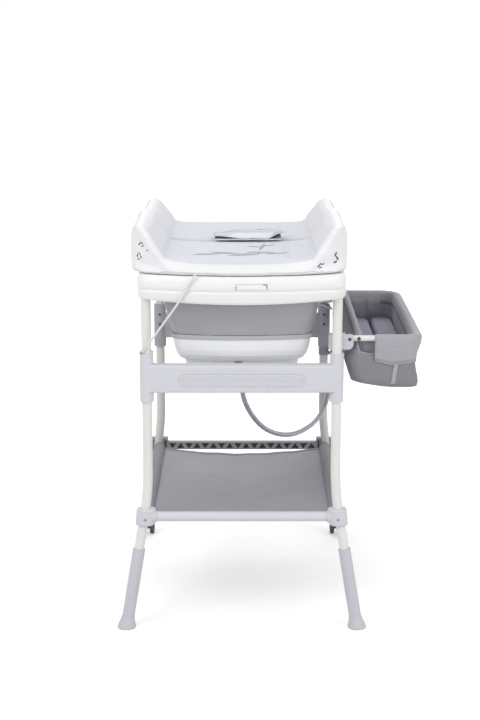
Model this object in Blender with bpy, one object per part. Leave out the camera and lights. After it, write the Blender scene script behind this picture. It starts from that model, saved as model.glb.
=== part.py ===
"""Baby bath and changing table: a tube frame on two feet and two casters, a folding tub, a mat and a side basket.

Metres, +Z up. +Y runs along the table's length, away from the end with the plain feet. +X runs across it,
towards the basket. The floor is z = 0. Shapes are drawn about the table's own centre plane, and everything
hangs from one empty that puts the middle of the whole outline, basket included, over the origin.
"""

import math

import bmesh
import bpy
from mathutils import Matrix, Vector

# ---------------------------------------------------------------- driving dimensions
GAP = 0.0003                 # clearance between pieces that touch

# tub rim and the ring that carries it
RIM_HALF_WIDTH = 0.248
RIM_HALF_LENGTH = 0.378
RIM_CORNER = 0.042           # corner radius seen from above
TUB_CORNER = 0.030           # the least corner radius anywhere inside the rim
RIM_BOW = 0.715              # radius of the bowed ends
RING_BOTTOM = 0.8075
RING_TOP = 0.8385
RIM_TOP = 0.8730
RING_WIDTH = 0.047
RING_DRAFT = 0.0055          # how far the ring's side draws in at its lower edge
RING_LIFT = 0.0065           # how far its lower edge climbs from the middle of an end to the corners
RIM_WIDTH = 0.058

# folding tub
WALL_THICK = 0.003
WALL_TOP = 0.8620
BAND_TOP = 0.7182
BAND_BOTTOM = 0.7075
SHELL_FLOOR_TURN = 0.6500    # where the shell's side turns in towards the foot
SHELL_FOOT = 0.6360
SHELL_INSET = 0.0815         # inset of the shell's mouth from the rim's outline
WALL_FOLD = 0.0012           # depth of the wall's folds
WALL_BELLY = 2.2             # how late the wall turns inwards on its way down
DRAIN_Y = -0.200
DRAIN_HOLE = 0.0100
SPOUT_BARREL = 0.0085
SPOUT_END = 0.6030
PLUG_FLANGE = 0.0160

# legs
LEG_SETBACK_X = 0.0215       # from the rim's side to a leg's axis
LEG_SETBACK_Y = 0.0640       # from the middle of the rim's end to a leg's axis
LEG_RADIUS = 0.0120
LEG_TOP = 0.8320
LEG_BEND_Z = 0.336           # height where the straight lengths would meet
LEG_BEND_RADIUS = 0.620
LEG_SPLAY_X = 0.165          # sideways run for each metre of drop
LEG_SPLAY_Y = 0.100          # endways run for each metre of drop
FRONT_LEG_END = 0.0850
REAR_LEG_END = 0.0790
TUBE_SIDES = 16

# end panels
PANEL_BOTTOM = 0.5865
PANEL_TOP = 0.6540
PANEL_DEPTH = 0.0260
PANEL_ROUND = 0.0070
COLLAR_BOTTOM = 0.5625
COLLAR_TOP = 0.6800
COLLAR_WALL = 0.0045
PANEL_SKIN = 0.0050
PANEL_WALL = 0.0045
RECESS_Z = 0.6155
RECESS_HALF_WIDTH = 0.1525
RECESS_HALF_HEIGHT = 0.0175
RECESS_DEPTH = 0.0015
PANEL_PANELS = 7             # cells between ribs
PANEL_SCREW_Z = (0.6256, 0.6525)

# lower rails
RAIL_Z = 0.2754
CROSS_RADIUS = 0.0122
T_COLLAR_BOTTOM = 0.2550
T_COLLAR_TOP = 0.2965
T_COLLAR_HALF_WIDTH = 0.0232
T_COLLAR_HALF_DEPTH = 0.0190
T_COLLAR_OFFSET = 0.0032     # how far the collar's middle stands in from the leg's axis
T_COLLAR_ROUND = 0.0045
T_SOCKET_REACH = 0.0300      # how far a collar's socket reaches along the cross tube from the leg
SIDE_RADIUS = 0.0110
SIDE_SOCKET_RADIUS = 0.0145
SIDE_SOCKET_REACH = 0.0310
REAR_BAR_BOTTOM = 0.2630
REAR_BAR_TOP = 0.2832
REAR_BAR_DEPTH = 0.0200
REAR_BAR_CELLS = 18
CLIP_BOTTOM = 0.2570
CLIP_TOP = 0.2940
CLIP_INNER = 0.0275          # reach of the clip from the leg's axis towards the middle
CLIP_OUTER = 0.0220
CLIP_FRONT = 0.0066          # how far the clip's arms come forward of the leg's axis
CLIP_BACK = 0.0175

# shelf
SHELF_THICK = 0.0018
SHELF_SAG = 0.0205
SHELF_SLEEVE = 0.0136
SHELF_START = 0.0040         # clearance from the front collar's socket
SHELF_END_Y = 0.2960

# front feet
SLEEVE_TOP = 0.1960
SLEEVE_BOTTOM = 0.0300
SLEEVE_WALL = 0.0029
FOOT_RADIUS = 0.0225
FOOT_SPIGOT = 0.0180

# rear casters
SOCKET_TOP = 0.1100
SOCKET_BOTTOM = 0.0630
SOCKET_WALL = 0.0043
STEM_RADIUS = 0.0050
STEM_TOP = 0.0740
STEM_CLEARANCE = 0.0003
CASTER_TRAIL = 0.0140
WHEEL_RADIUS = 0.0250
WHEEL_WIDTH = 0.0120
WHEEL_GAP = 0.0008
FORK_WIDTH = 0.0130
FORK_TOP = 0.0610
AXLE_RADIUS = 0.0030
WHEEL_SEGMENTS = 24

# latch in the rim's near end
LATCH_CENTRE_X = 0.0230
LATCH_HALF_WIDTH = 0.0360
LATCH_BOTTOM = 0.8445
LATCH_TOP = 0.8565
LATCH_DEPTH = 0.0090
LATCH_TRAVEL = 0.0030
LATCH_CLEARANCE = 0.0006

# changing mat
MAT_OVERHANG = 0.0035        # past the rim's sides
MAT_END_SETBACK = 0.0020     # inside the middle of the rim's bowed ends
MAT_CORNER = 0.0550          # corner radius of the mat seen from above
MAT_FLOOR = 0.9030
MAT_CREST = 0.9850
MAT_FAR_DROP = 0.0120        # how much lower the raised sides of the far half are
MAT_SIDE_FOOT = 0.0815       # width of a raised side at its foot
MAT_SIDE_TOP = 0.0165        # from the mat's edge to the highest line of its raised side
MAT_SIDE_FLAT = 0.0265       # from the mat's edge to where its raised side starts to slope inwards
MAT_CREASE_GAP = 0.0002

# belt on the mat
BELT_CENTRE = (0.0180, 0.0150)
BELT_SIZE = (0.1600, 0.1000)
BELT_THICK = 0.0130

# elastic straps of the mat
STRAP_RADIUS = 0.0027
STRAP_START_X = 0.1070
STRAP_RUN = 0.690            # sideways run of a strap for each metre of drop

# drain hose
HOSE_RADIUS = 0.0063
HOSE_CLIP_Z = 0.5430
HOSE_CLIP_HEIGHT = 0.0250
HOSE_REACH_X = 0.0260        # where the hose stands beside the rear leg, from the leg's axis
HOSE_REACH_Y = 0.0150

# side basket
BASKET_ARM_SETBACK = 0.0165  # from the legs' axes to the basket's arms, along the table
BASKET_RAIL_Z = 0.7130
BASKET_TUBE_RADIUS = 0.0070
BASKET_PIVOT_REACH = 0.0302  # these four are measured across from the legs' axes
BASKET_ARM_REACH = 0.0240
BASKET_INNER_REACH = 0.0555
BASKET_OUTER_REACH = 0.1935
BASKET_BEND = 0.0300         # the tube's bend at the near corner
BASKET_FAR_BEND = 0.0480     # and at the far corner
BASKET_INNER_RADIUS = 0.0060
BAG_THICK = 0.0025
BAG_TOP = 0.7215
BAG_BOTTOM = 0.6010
BAG_BULGE = 0.0220           # how far the bag's inner side swells towards the legs
BAG_TAPER = 0.0100           # how far its outer side draws in at the bottom
BAG_CORNER = 0.0080          # corner radius of the bag's mouth on the legs' side
ARM_OPENING = 0.0450         # length of arm left bare of fabric, from the bracket's side
INSERT_THICK = 0.0440
BRACKET_BOTTOM = 0.6880
BRACKET_TOP = 0.7245
BRACKET_INNER = 0.0190
BRACKET_PLATE_REACH = 0.0389
BRACKET_BLOCK_REACH = 0.0203
BRACKET_FRONT = 0.0036       # setback of the bracket's face from the leg's axis
BRACKET_PLATE = 0.0050
BRACKET_DEPTH = 0.0240
BRACKET_ROUND = 0.0120
PIN_RADIUS = 0.0025
PIN_HEAD = 0.0040

# ---------------------------------------------------------------- worked out from them
LEG_X = RIM_HALF_WIDTH - LEG_SETBACK_X
LEG_Y = RIM_HALF_LENGTH - LEG_SETBACK_Y
LEG_SPLAY = math.hypot(LEG_SPLAY_X, LEG_SPLAY_Y)
LEG_TILT = math.atan(LEG_SPLAY)
LEG_BEND_TOP = LEG_BEND_Z + LEG_BEND_RADIUS * math.tan(LEG_TILT / 2)
LEG_BEND_END = LEG_BEND_TOP - LEG_BEND_RADIUS * math.sin(LEG_TILT)
LEG_HOLE = LEG_RADIUS + GAP
COLLAR_RADIUS = LEG_HOLE + COLLAR_WALL
SLEEVE_RADIUS = LEG_HOLE + SLEEVE_WALL
SOCKET_RADIUS = LEG_HOLE + SOCKET_WALL
MAT_HALF_WIDTH = RIM_HALF_WIDTH + MAT_OVERHANG
MAT_END_Y = RIM_HALF_LENGTH - MAT_END_SETBACK
MAT_BOTTOM = RIM_TOP + GAP
MAT_FLOOR_HALF = MAT_HALF_WIDTH - MAT_SIDE_FOOT
MAT_WING_TOP_X = MAT_HALF_WIDTH - MAT_SIDE_TOP
HOSE_TOP_X = LEG_X + HOSE_REACH_X
HOSE_TOP_Y = LEG_Y - HOSE_REACH_Y
BASKET_ARM_Y = LEG_Y - BASKET_ARM_SETBACK
BASKET_PIVOT_X = LEG_X + BASKET_PIVOT_REACH
BASKET_ARM_START = LEG_X + BASKET_ARM_REACH
BASKET_INNER_X = LEG_X + BASKET_INNER_REACH
BASKET_OUTER_X = LEG_X + BASKET_OUTER_REACH
BRACKET_PLATE_END = LEG_X + BRACKET_PLATE_REACH
BRACKET_BLOCK_END = LEG_X + BRACKET_BLOCK_REACH
LEG_X_SIDE = LEG_X + LEG_SPLAY_X * (LEG_BEND_Z - RAIL_Z) - 0.0035
BAG_LEFT = BASKET_INNER_X - BASKET_INNER_RADIUS - GAP - BAG_THICK
BAG_RIGHT = BASKET_OUTER_X + BASKET_TUBE_RADIUS + GAP + BAG_THICK
BAG_END = BASKET_ARM_Y + BASKET_TUBE_RADIUS + GAP + BAG_THICK
FOOT_OUTER_X = LEG_X + LEG_SPLAY_X * LEG_BEND_Z + FOOT_RADIUS
TABLE_SHIFT = (FOOT_OUTER_X - BAG_RIGHT) / 2

PALETTE = {
    "white_plastic": ((0.93, 0.93, 0.94), 0.35, 0.0),
    "white_tube": ((0.84, 0.84, 0.83), 0.40, 0.0),
    "pale_grey_plastic": ((0.70, 0.70, 0.75), 0.45, 0.0),
    "mid_grey_plastic": ((0.44, 0.44, 0.49), 0.50, 0.0),
    "rib_grey_plastic": ((0.30, 0.30, 0.33), 0.55, 0.0),
    "silicone": ((0.36, 0.36, 0.39), 0.60, 0.0),
    "pale_silicone": ((0.50, 0.50, 0.54), 0.60, 0.0),
    "black_plastic": ((0.03, 0.03, 0.03), 0.50, 0.0),
    "steel": ((0.45, 0.45, 0.45), 0.30, 1.0),
    "hose": ((0.42, 0.43, 0.50), 0.30, 0.0),
    "shelf_cloth": ((0.33, 0.33, 0.35), 0.80, 0.0),
    "bag_cloth": ((0.35, 0.35, 0.38), 0.85, 0.0),
    "insert_cloth": ((0.31, 0.32, 0.38), 0.85, 0.0),
    "mat_cover": ((0.80, 0.80, 0.84), 0.55, 0.0),
    "belt_cloth": ((0.66, 0.68, 0.74), 0.80, 0.0),
    "elastic": ((0.86, 0.86, 0.86), 0.80, 0.0),
}


# ---------------------------------------------------------------- scene and helpers
def clear_scene():
    for old in list(bpy.data.objects):
        bpy.data.objects.remove(old, do_unlink=True)


def material(name):
    found = bpy.data.materials.get(name)
    if found:
        return found
    colour, roughness, metallic = PALETTE[name]
    made = bpy.data.materials.new(name)
    made.use_nodes = True
    shader = made.node_tree.nodes["Principled BSDF"]
    shader.inputs["Base Color"].default_value = (*colour, 1.0)
    shader.inputs["Roughness"].default_value = roughness
    shader.inputs["Metallic"].default_value = metallic
    return made


def table_empty():
    """The empty that carries everything: it centres the outline over the origin."""
    empty = bpy.data.objects.new("table_frame", None)
    empty.location = (TABLE_SHIFT, 0.0, 0.0)
    bpy.context.collection.objects.link(empty)
    return empty


def add(name, shape, finish, pivot=(0.0, 0.0, 0.0)):
    """Adds a bmesh as an object whose origin is pivot, with the shape left where it was drawn."""
    pivot = Vector(pivot)
    bmesh.ops.translate(shape, verts=shape.verts, vec=-pivot)
    bmesh.ops.recalc_face_normals(shape, faces=shape.faces)
    mesh = bpy.data.meshes.new(name)
    shape.to_mesh(mesh)
    shape.free()
    mesh.shade_smooth()
    mesh.set_sharp_from_angle(angle=math.radians(35))
    mesh.materials.append(material(finish))
    made = bpy.data.objects.new(name, mesh)
    made.location = pivot
    made.parent = TABLE
    bpy.context.collection.objects.link(made)
    return made


def boolean(target, tool, operation):
    """Cuts target with tool, or joins tool to it, and leaves tool as a guide that isn't built."""
    tool.hide_render = True
    tool.display_type = "WIRE"
    step = target.modifiers.new(tool.name, "BOOLEAN")
    step.operation = operation
    step.object = tool


def cut(target, *shapes):
    for count, shape in enumerate(shapes):
        boolean(target, add(f"{target.name}.cut{len(target.modifiers)}{count}", shape, "black_plastic"), "DIFFERENCE")


def join(target, *shapes):
    for count, shape in enumerate(shapes):
        boolean(target, add(f"{target.name}.join{len(target.modifiers)}{count}", shape, "black_plastic"), "UNION")


def loft(rings, closed=False):
    """Skins rings of points; the ends are capped, or joined to each other when closed."""
    shape = bmesh.new()
    rows = [[shape.verts.new(point) for point in ring] for ring in rings]
    pairs = list(zip(rows, rows[1:]))
    if closed:
        pairs.append((rows[-1], rows[0]))
    for low, high in pairs:
        for k in range(len(low)):
            after = (k + 1) % len(low)
            shape.faces.new((low[k], low[after], high[after], high[k]))
    if not closed:
        shape.faces.new(rows[0][::-1])
        shape.faces.new(rows[-1])
    return shape


def ring_of_points(centre, direction, radius, sides=TUBE_SIDES, side=Vector((1.0, 0.0, 0.0))):
    """A circle of points about centre, square to direction, starting from the way side points."""
    direction = Vector(direction).normalized()
    across = (side - direction * side.dot(direction)).normalized()
    up = direction.cross(across)
    turns = (2 * math.pi * (k + 0.5) / sides for k in range(sides))
    return [Vector(centre) + radius * (math.cos(t) * across + math.sin(t) * up) for t in turns]


def sweep(path, radius, sides=TUBE_SIDES, side=Vector((1.0, 0.0, 0.0))):
    """A round bar along path, with square ends."""
    path = [Vector(point) for point in path]
    rings = []
    for k, point in enumerate(path):
        before = path[max(k - 1, 0)]
        after = path[min(k + 1, len(path) - 1)]
        rings.append(ring_of_points(point, after - before, radius, sides, side))
    return loft(rings)


def rod(start, end, radius, sides=TUBE_SIDES):
    """A straight round bar."""
    along = Vector(end) - Vector(start)
    side = Vector((1.0, 0.0, 0.0)) if abs(along.z) > abs(along.x) else Vector((0.0, 0.0, 1.0))
    return sweep([start, end], radius, sides, side)


def box(low, high):
    shape = bmesh.new()
    bmesh.ops.create_cube(shape, size=1.0)
    size = Vector(high) - Vector(low)
    bmesh.ops.scale(shape, vec=size, verts=shape.verts)
    bmesh.ops.translate(shape, vec=(Vector(high) + Vector(low)) / 2, verts=shape.verts)
    return shape


def prism(outline, axis, low, high):
    """Extrudes a flat outline of (u, v) points along axis 'x' (u, v = y, z) or 'y' (u, v = x, z)."""
    if axis == "x":
        ends = [[Vector((at, u, v)) for u, v in outline] for at in (low, high)]
    else:
        ends = [[Vector((u, at, v)) for u, v in outline] for at in (low, high)]
    return loft(ends)


def turned(profile, centre, direction, segments=WHEEL_SEGMENTS, side=Vector((0.0, 0.0, 1.0)), closed=True):
    """Turns a profile of (distance along direction, radius) points; closed for a piece with a bore."""
    direction = Vector(direction).normalized()
    rings = [ring_of_points(Vector(centre) + direction * along, direction, radius, segments, side)
             for along, radius in profile]
    return loft(rings, closed=closed)


def lowest_at_corner(segments):
    """The side vector's turn that puts one of a wheel's corners straight down."""
    return Matrix.Rotation(math.pi / segments, 3, "X") @ Vector((0.0, 0.0, -1.0))


def merged(*shapes):
    """Several closed shapes in one bmesh, for use as one cutter."""
    whole = bmesh.new()
    for shape in shapes:
        copy = bpy.data.meshes.new("part_of_cutter")
        shape.to_mesh(copy)
        shape.free()
        whole.from_mesh(copy)
        bpy.data.meshes.remove(copy)
    return whole


def smooth_route(points, step):
    """Points about step apart on a Catmull-Rom curve through points."""
    points = [Vector(p) for p in points]
    ends = [2 * points[0] - points[1]] + points + [2 * points[-1] - points[-2]]
    route = [points[0]]
    for k in range(1, len(ends) - 2):
        a, b, c, d = ends[k - 1:k + 3]
        pieces = max(1, round((c - b).length / step))
        for n in range(1, pieces + 1):
            t = n / pieces
            route.append(0.5 * (2 * b + (c - a) * t + (2 * a - 5 * b + 4 * c - d) * t * t
                                + (3 * b - a - 3 * c + d) * t ** 3))
    return route


def cord(name, route, radius, finish, resolution):
    """A cord as a curve with a round bevel and filled caps."""
    curve = bpy.data.curves.new(name, "CURVE")
    curve.dimensions = "3D"
    spline = curve.splines.new("POLY")
    spline.points.add(len(route) - 1)
    for slot, point in zip(spline.points, route):
        slot.co = (*point, 1.0)
    curve.bevel_depth = radius
    curve.bevel_resolution = resolution
    curve.use_fill_caps = True
    curve.materials.append(material(finish))
    made = bpy.data.objects.new(name, curve)
    made.parent = TABLE
    bpy.context.collection.objects.link(made)
    return made


# ---------------------------------------------------------------- outlines
def rim_outline(inset, z, bow_steps=5, corner_steps=6):
    """The tub's outline from above, drawn in by inset: bowed ends, straight sides, round corners."""
    half_width, half_length = RIM_HALF_WIDTH - inset, RIM_HALF_LENGTH - inset
    bow, corner = RIM_BOW - inset, max(RIM_CORNER - inset, TUB_CORNER)
    bow_centre = -half_length + bow
    corner_x = half_width - corner
    corner_y = bow_centre - math.sqrt((bow - corner) ** 2 - corner_x ** 2)
    tangent = math.atan2(corner_x, bow_centre - corner_y)
    quarter = [(bow * math.sin(tangent * k / bow_steps), bow_centre - bow * math.cos(tangent * k / bow_steps))
               for k in range(bow_steps)]
    for k in range(corner_steps + 1):
        angle = tangent + (math.pi / 2 - tangent) * k / corner_steps
        quarter.append((corner_x + corner * math.sin(angle), corner_y - corner * math.cos(angle)))
    near = quarter[::-1][:-1]
    outline = quarter + [(x, -y) for x, y in near] + [(0.0, half_length)]
    outline += [(-x, -y) for x, y in quarter[1:]] + [(-x, y) for x, y in near]
    return [Vector((x, y, z)) for x, y in outline]


def round_rectangle(low, high, radius, z, steps=5, low_x_radius=None):
    """A rectangle from above with round corners: low and high are (x, y) corners."""
    left = low_x_radius or radius
    centres = ((high[0] - radius, high[1] - radius, 0, radius), (low[0] + left, high[1] - left, 90, left),
               (low[0] + left, low[1] + left, 180, left), (high[0] - radius, low[1] + radius, 270, radius))
    points = []
    for x, y, start, size in centres:
        for k in range(steps + 1):
            angle = math.radians(start + 90 * k / steps)
            points.append(Vector((x + size * math.cos(angle), y + size * math.sin(angle), z)))
    return points


# ---------------------------------------------------------------- legs
def leg_point(side, end, z):
    """A point on a leg's axis at height z; side is -1 or 1 across, end is -1 (near) or 1 along the table."""
    if z >= LEG_BEND_TOP:
        run = 0.0
    elif z >= LEG_BEND_END:
        turn = math.asin((LEG_BEND_TOP - z) / LEG_BEND_RADIUS)
        run = LEG_BEND_RADIUS * (1 - math.cos(turn))
    else:
        run = LEG_SPLAY * (LEG_BEND_Z - z)
    return Vector((side * (LEG_X + run * LEG_SPLAY_X / LEG_SPLAY), end * (LEG_Y + run * LEG_SPLAY_Y / LEG_SPLAY), z))


def leg_path(side, end, low, high, steps=6):
    """The leg's axis from low to high, with extra points only round its bend."""
    bend = [LEG_BEND_END + (LEG_BEND_TOP - LEG_BEND_END) * k / steps for k in range(steps + 1)]
    heights = [low] + [z for z in bend if low < z < high] + [high]
    return [leg_point(side, end, z) for z in heights]


def leg_bar(side, end, low, high, radius):
    return sweep(leg_path(side, end, low, high), radius)


def leg_direction(side, end):
    """Up the leg's splayed lower length."""
    return (leg_point(side, end, LEG_BEND_END) - leg_point(side, end, 0.0)).normalized()


def side_name(side):
    return "left" if side < 0 else "right"


def build_legs():
    for side in (-1, 1):
        add(f"front_{side_name(side)}_leg", leg_bar(side, -1, FRONT_LEG_END, LEG_TOP, LEG_RADIUS), "white_tube")
        add(f"rear_{side_name(side)}_leg", leg_bar(side, 1, REAR_LEG_END, LEG_TOP, LEG_RADIUS), "white_tube")


# ---------------------------------------------------------------- tub, its rim and its ring
def lifted_outline(inset, z, share):
    """The rim's outline at z, with share of the ring's lift towards its corners."""
    outline = rim_outline(inset, z)
    for point in outline:
        point.z += share * RING_LIFT * min(1.0, abs(point.x) / LEG_X) ** 2
    return outline


def build_ring_and_rim():
    # each: inset, height, share of the lift at the corners
    ring_profile = [(RING_DRAFT, RING_BOTTOM, 1.0), (RING_DRAFT * 0.55, RING_BOTTOM + 0.0045, 0.85),
                    (RING_DRAFT * 0.3, RING_BOTTOM + 0.0140, 0.4), (0.0010, RING_TOP - 0.0060, 0.0),
                    (0.0032, RING_TOP, 0.0), (RING_WIDTH, RING_TOP, 0.0), (RING_WIDTH, RING_BOTTOM, 1.0)]
    ring = add("support_ring", loft([lifted_outline(*p) for p in ring_profile], closed=True), "white_plastic")
    legs = [leg_bar(side, end, 0.70, LEG_TOP + GAP, LEG_HOLE) for side in (-1, 1) for end in (-1, 1)]
    cut(ring, merged(*legs))

    rim_profile = [(0.0032, RING_TOP + GAP), (0.0008, RING_TOP + 0.0060), (0.0, RING_TOP + 0.0135),
                   (0.0007, RIM_TOP - 0.0130), (0.0028, RIM_TOP - 0.0065), (0.0060, RIM_TOP - 0.0022),
                   (0.0105, RIM_TOP), (RIM_WIDTH - 0.004, RIM_TOP),
                   (RIM_WIDTH, RIM_TOP - 0.004), (RIM_WIDTH, RING_TOP + GAP)]
    rim = add("tub_rim", loft([rim_outline(*p) for p in rim_profile], closed=True), "white_plastic")
    slot = LATCH_CLEARANCE
    cut(rim, box((LATCH_CENTRE_X - LATCH_HALF_WIDTH - slot, -RIM_HALF_LENGTH - 0.01, LATCH_BOTTOM - slot),
                 (LATCH_CENTRE_X + LATCH_HALF_WIDTH + slot,
                  -RIM_HALF_LENGTH + LATCH_DEPTH + LATCH_TRAVEL + 0.001, LATCH_TOP + slot)))


def build_latch():
    """The press tab in the rim's near end; its face follows the rim's bow."""
    bow_centre = -RIM_HALF_LENGTH + RIM_BOW
    front, back = [], []
    for k in range(9):
        x = LATCH_CENTRE_X + LATCH_HALF_WIDTH * (k / 4 - 1)
        front.append((x, bow_centre - math.sqrt(RIM_BOW ** 2 - x ** 2)))
        back.append((x, -RIM_HALF_LENGTH + LATCH_DEPTH))
    outline = front + back[::-1]
    ends = [[Vector((x, y, z)) for x, y in outline] for z in (LATCH_BOTTOM, LATCH_TOP)]
    add("tub_latch", loft(ends), "white_plastic", (LATCH_CENTRE_X, -RIM_HALF_LENGTH, LATCH_BOTTOM))


def build_tub():
    """Silicone wall, its stiff lower band and the hard shell below it."""
    top_inset = RIM_WIDTH + GAP
    folds = 4
    outer = [(top_inset, WALL_TOP)]
    for k in range(1, 2 * folds + 1):
        share = k / (2 * folds)
        z = WALL_TOP + (BAND_TOP + GAP - WALL_TOP) * share
        fold = WALL_FOLD if k % 2 else 0.0
        outer.append((top_inset + (SHELL_INSET - top_inset) * share ** WALL_BELLY + fold, z))
    inner = [(inset + WALL_THICK, z) for inset, z in reversed(outer)]
    wall = loft([rim_outline(*p) for p in outer + inner], closed=True)
    add("tub_wall", wall, "silicone")

    band = [(SHELL_INSET - 0.0022, BAND_BOTTOM), (SHELL_INSET - 0.0030, (BAND_BOTTOM + BAND_TOP) / 2),
            (SHELL_INSET - 0.0022, BAND_TOP), (SHELL_INSET + WALL_THICK, BAND_TOP),
            (SHELL_INSET + WALL_THICK, BAND_BOTTOM)]
    add("tub_band", loft([rim_outline(*p) for p in band], closed=True), "pale_silicone")

    top = BAND_BOTTOM - GAP
    turn = SHELL_FLOOR_TURN
    foot = SHELL_INSET + 0.0290
    outside = [(SHELL_INSET, top), (SHELL_INSET + 0.0020, turn + 0.0440), (SHELL_INSET + 0.0050, turn + 0.0300),
               (SHELL_INSET + 0.0095, turn + 0.0165), (SHELL_INSET + 0.0165, turn + 0.0060),
               (foot - 0.0040, turn + 0.0010), (foot, turn - 0.0020), (foot + 0.0010, SHELL_FOOT + 0.0020),
               (foot + 0.0030, SHELL_FOOT)]
    inside = [(foot + 0.0060, SHELL_FOOT + WALL_THICK), (foot + 0.0035, turn - 0.0015),
              (foot - 0.0005, turn + 0.0036), (SHELL_INSET + 0.0190, turn + 0.0088),
              (SHELL_INSET + 0.0122, turn + 0.0185), (SHELL_INSET + 0.0079, turn + 0.0308),
              (SHELL_INSET + 0.0050, turn + 0.0443), (SHELL_INSET + WALL_THICK, top)]
    shell = add("tub_shell", cup([rim_outline(*p) for p in outside], [rim_outline(*p) for p in inside]),
                "white_plastic")
    cut(shell, rod((0.0, DRAIN_Y, SHELL_FOOT - 0.01), (0.0, DRAIN_Y, SHELL_FOOT + 0.01), DRAIN_HOLE + GAP))


def cup(outside, inside):
    """A hollow shell: outside rings go down to the bottom, inside rings come back up to the mouth."""
    shape = bmesh.new()
    rows = [[shape.verts.new(point) for point in ring] for ring in outside + inside]
    count = len(rows[0])
    breaks = len(outside) - 1
    for n, (low, high) in enumerate(zip(rows, rows[1:])):
        if n == breaks:
            continue
        for k in range(count):
            after = (k + 1) % count
            shape.faces.new((low[k], low[after], high[after], high[k]))
    for k in range(count):
        after = (k + 1) % count
        shape.faces.new((rows[-1][k], rows[-1][after], rows[0][after], rows[0][k]))
    shape.faces.new(rows[breaks])
    shape.faces.new(rows[breaks + 1])
    return shape


def build_drain():
    floor_in = SHELL_FOOT + WALL_THICK
    spout = [(0.0, SPOUT_BARREL - 0.0025), (0.0, SPOUT_BARREL - 0.0008), (0.006, SPOUT_BARREL),
             (0.0215, SPOUT_BARREL), (0.0240, 0.0175), (SHELL_FOOT - GAP - SPOUT_END, 0.0175),
             (SHELL_FOOT - GAP - SPOUT_END, SPOUT_BARREL - 0.0025)]
    add("drain_spout", turned(spout, (0.0, DRAIN_Y, SPOUT_END), (0, 0, 1), 20, Vector((1, 0, 0))),
        "pale_grey_plastic")
    plug = [(-WALL_THICK, DRAIN_HOLE - 0.002), (GAP, DRAIN_HOLE - GAP), (GAP, PLUG_FLANGE),
            (0.0022, PLUG_FLANGE), (0.0034, PLUG_FLANGE - 0.002), (0.0034, 0.0040), (0.0110, 0.0030),
            (0.0130, 0.0052), (0.0160, 0.0052), (0.0172, 0.0030)]
    add("drain_plug", turned(plug, (0.0, DRAIN_Y, floor_in), (0, 0, 1), 20, Vector((1, 0, 0)), closed=False),
        "mid_grey_plastic", (0.0, DRAIN_Y, floor_in))


# ---------------------------------------------------------------- end panels
def ribbed_cells(count, half, low, high, wall, front, back):
    """Triangular pockets, up and down in turn, that leave slanting ribs between two flanges."""
    pitch = 2 * half / count
    lean = (high - low) * 0.5
    cells = []
    for k in range(count):
        left = -half + pitch * k + wall / 2
        right = left + pitch - wall
        point = (left + right) / 2
        tip = min(lean, (right - left) / 2 - 0.001)
        if k % 2:
            outline = [(left, low), (right, low), (point + 0.001, high), (point - 0.001, high)]
        else:
            outline = [(left, high), (point - 0.001, low), (point + 0.001, low), (right, high)]
        if tip > 0:
            cells.append(prism(outline, "y", front, back))
    return merged(*cells)


def build_panel(name, end, finish):
    """An end panel with its two collars: smooth outside with a long recess, ribbed inside."""
    outer = end * (LEG_Y + COLLAR_RADIUS)
    inner = end * (LEG_Y + COLLAR_RADIUS - PANEL_DEPTH)
    section = [(inner, PANEL_TOP), (inner, PANEL_BOTTOM), (outer - end * 0.0030, PANEL_BOTTOM),
               (outer, PANEL_BOTTOM + 0.0030)]
    section += [(outer - end * PANEL_ROUND * (1 - math.cos(t)), PANEL_TOP - PANEL_ROUND * (1 - math.sin(t)))
                for t in (math.radians(22.5 * k) for k in range(5))]
    panel = add(name, prism(section, "x", -LEG_X, LEG_X), finish)
    collars = [leg_bar(side, end, COLLAR_BOTTOM, COLLAR_TOP, COLLAR_RADIUS) for side in (-1, 1)]
    join(panel, *collars)
    reach = LEG_X - COLLAR_RADIUS - 0.006
    skin = outer - end * PANEL_SKIN
    cells = ribbed_cells(PANEL_PANELS, reach, PANEL_BOTTOM + PANEL_WALL, PANEL_TOP - PANEL_WALL, PANEL_WALL,
                         min(skin, inner - end * 0.01), max(skin, inner - end * 0.01))
    recess = [(point.x, point.y) for point in
              round_rectangle((-RECESS_HALF_WIDTH, RECESS_Z - RECESS_HALF_HEIGHT),
                              (RECESS_HALF_WIDTH, RECESS_Z + RECESS_HALF_HEIGHT), RECESS_HALF_HEIGHT * 0.98, 0.0)]
    face = outer - end * RECESS_DEPTH
    cut(panel, cells, prism(recess, "y", min(face, outer + end * 0.01), max(face, outer + end * 0.01)))
    cut(panel, *[leg_bar(side, end, COLLAR_BOTTOM - 0.02, COLLAR_TOP + 0.02, LEG_HOLE) for side in (-1, 1)])
    return panel


def screw(name, seat, direction, head, shank, length, finish="steel"):
    """A pan-head screw: seat is where its head lies, direction points out of the material."""
    profile = [(-length, shank), (0.0, shank), (0.0, head), (0.0012, head), (0.0018, head * 0.7)]
    return add(name, turned(profile, seat, direction, 12, closed=False), finish)


def screw_hole(seat, direction, head, shank, length):
    """The counterbore and pilot hole a screw sits in."""
    direction = Vector(direction)
    seat = Vector(seat)
    deep = seat - direction * (length + GAP)
    low = seat - direction * GAP
    out = seat + direction * 0.02
    rings = [ring_of_points(deep, direction, shank + GAP, 12, Vector((0, 0, 1))),
             ring_of_points(low, direction, shank + GAP, 12, Vector((0, 0, 1))),
             ring_of_points(low, direction, head + GAP, 12, Vector((0, 0, 1))),
             ring_of_points(out, direction, head + GAP, 12, Vector((0, 0, 1)))]
    return loft(rings)


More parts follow.
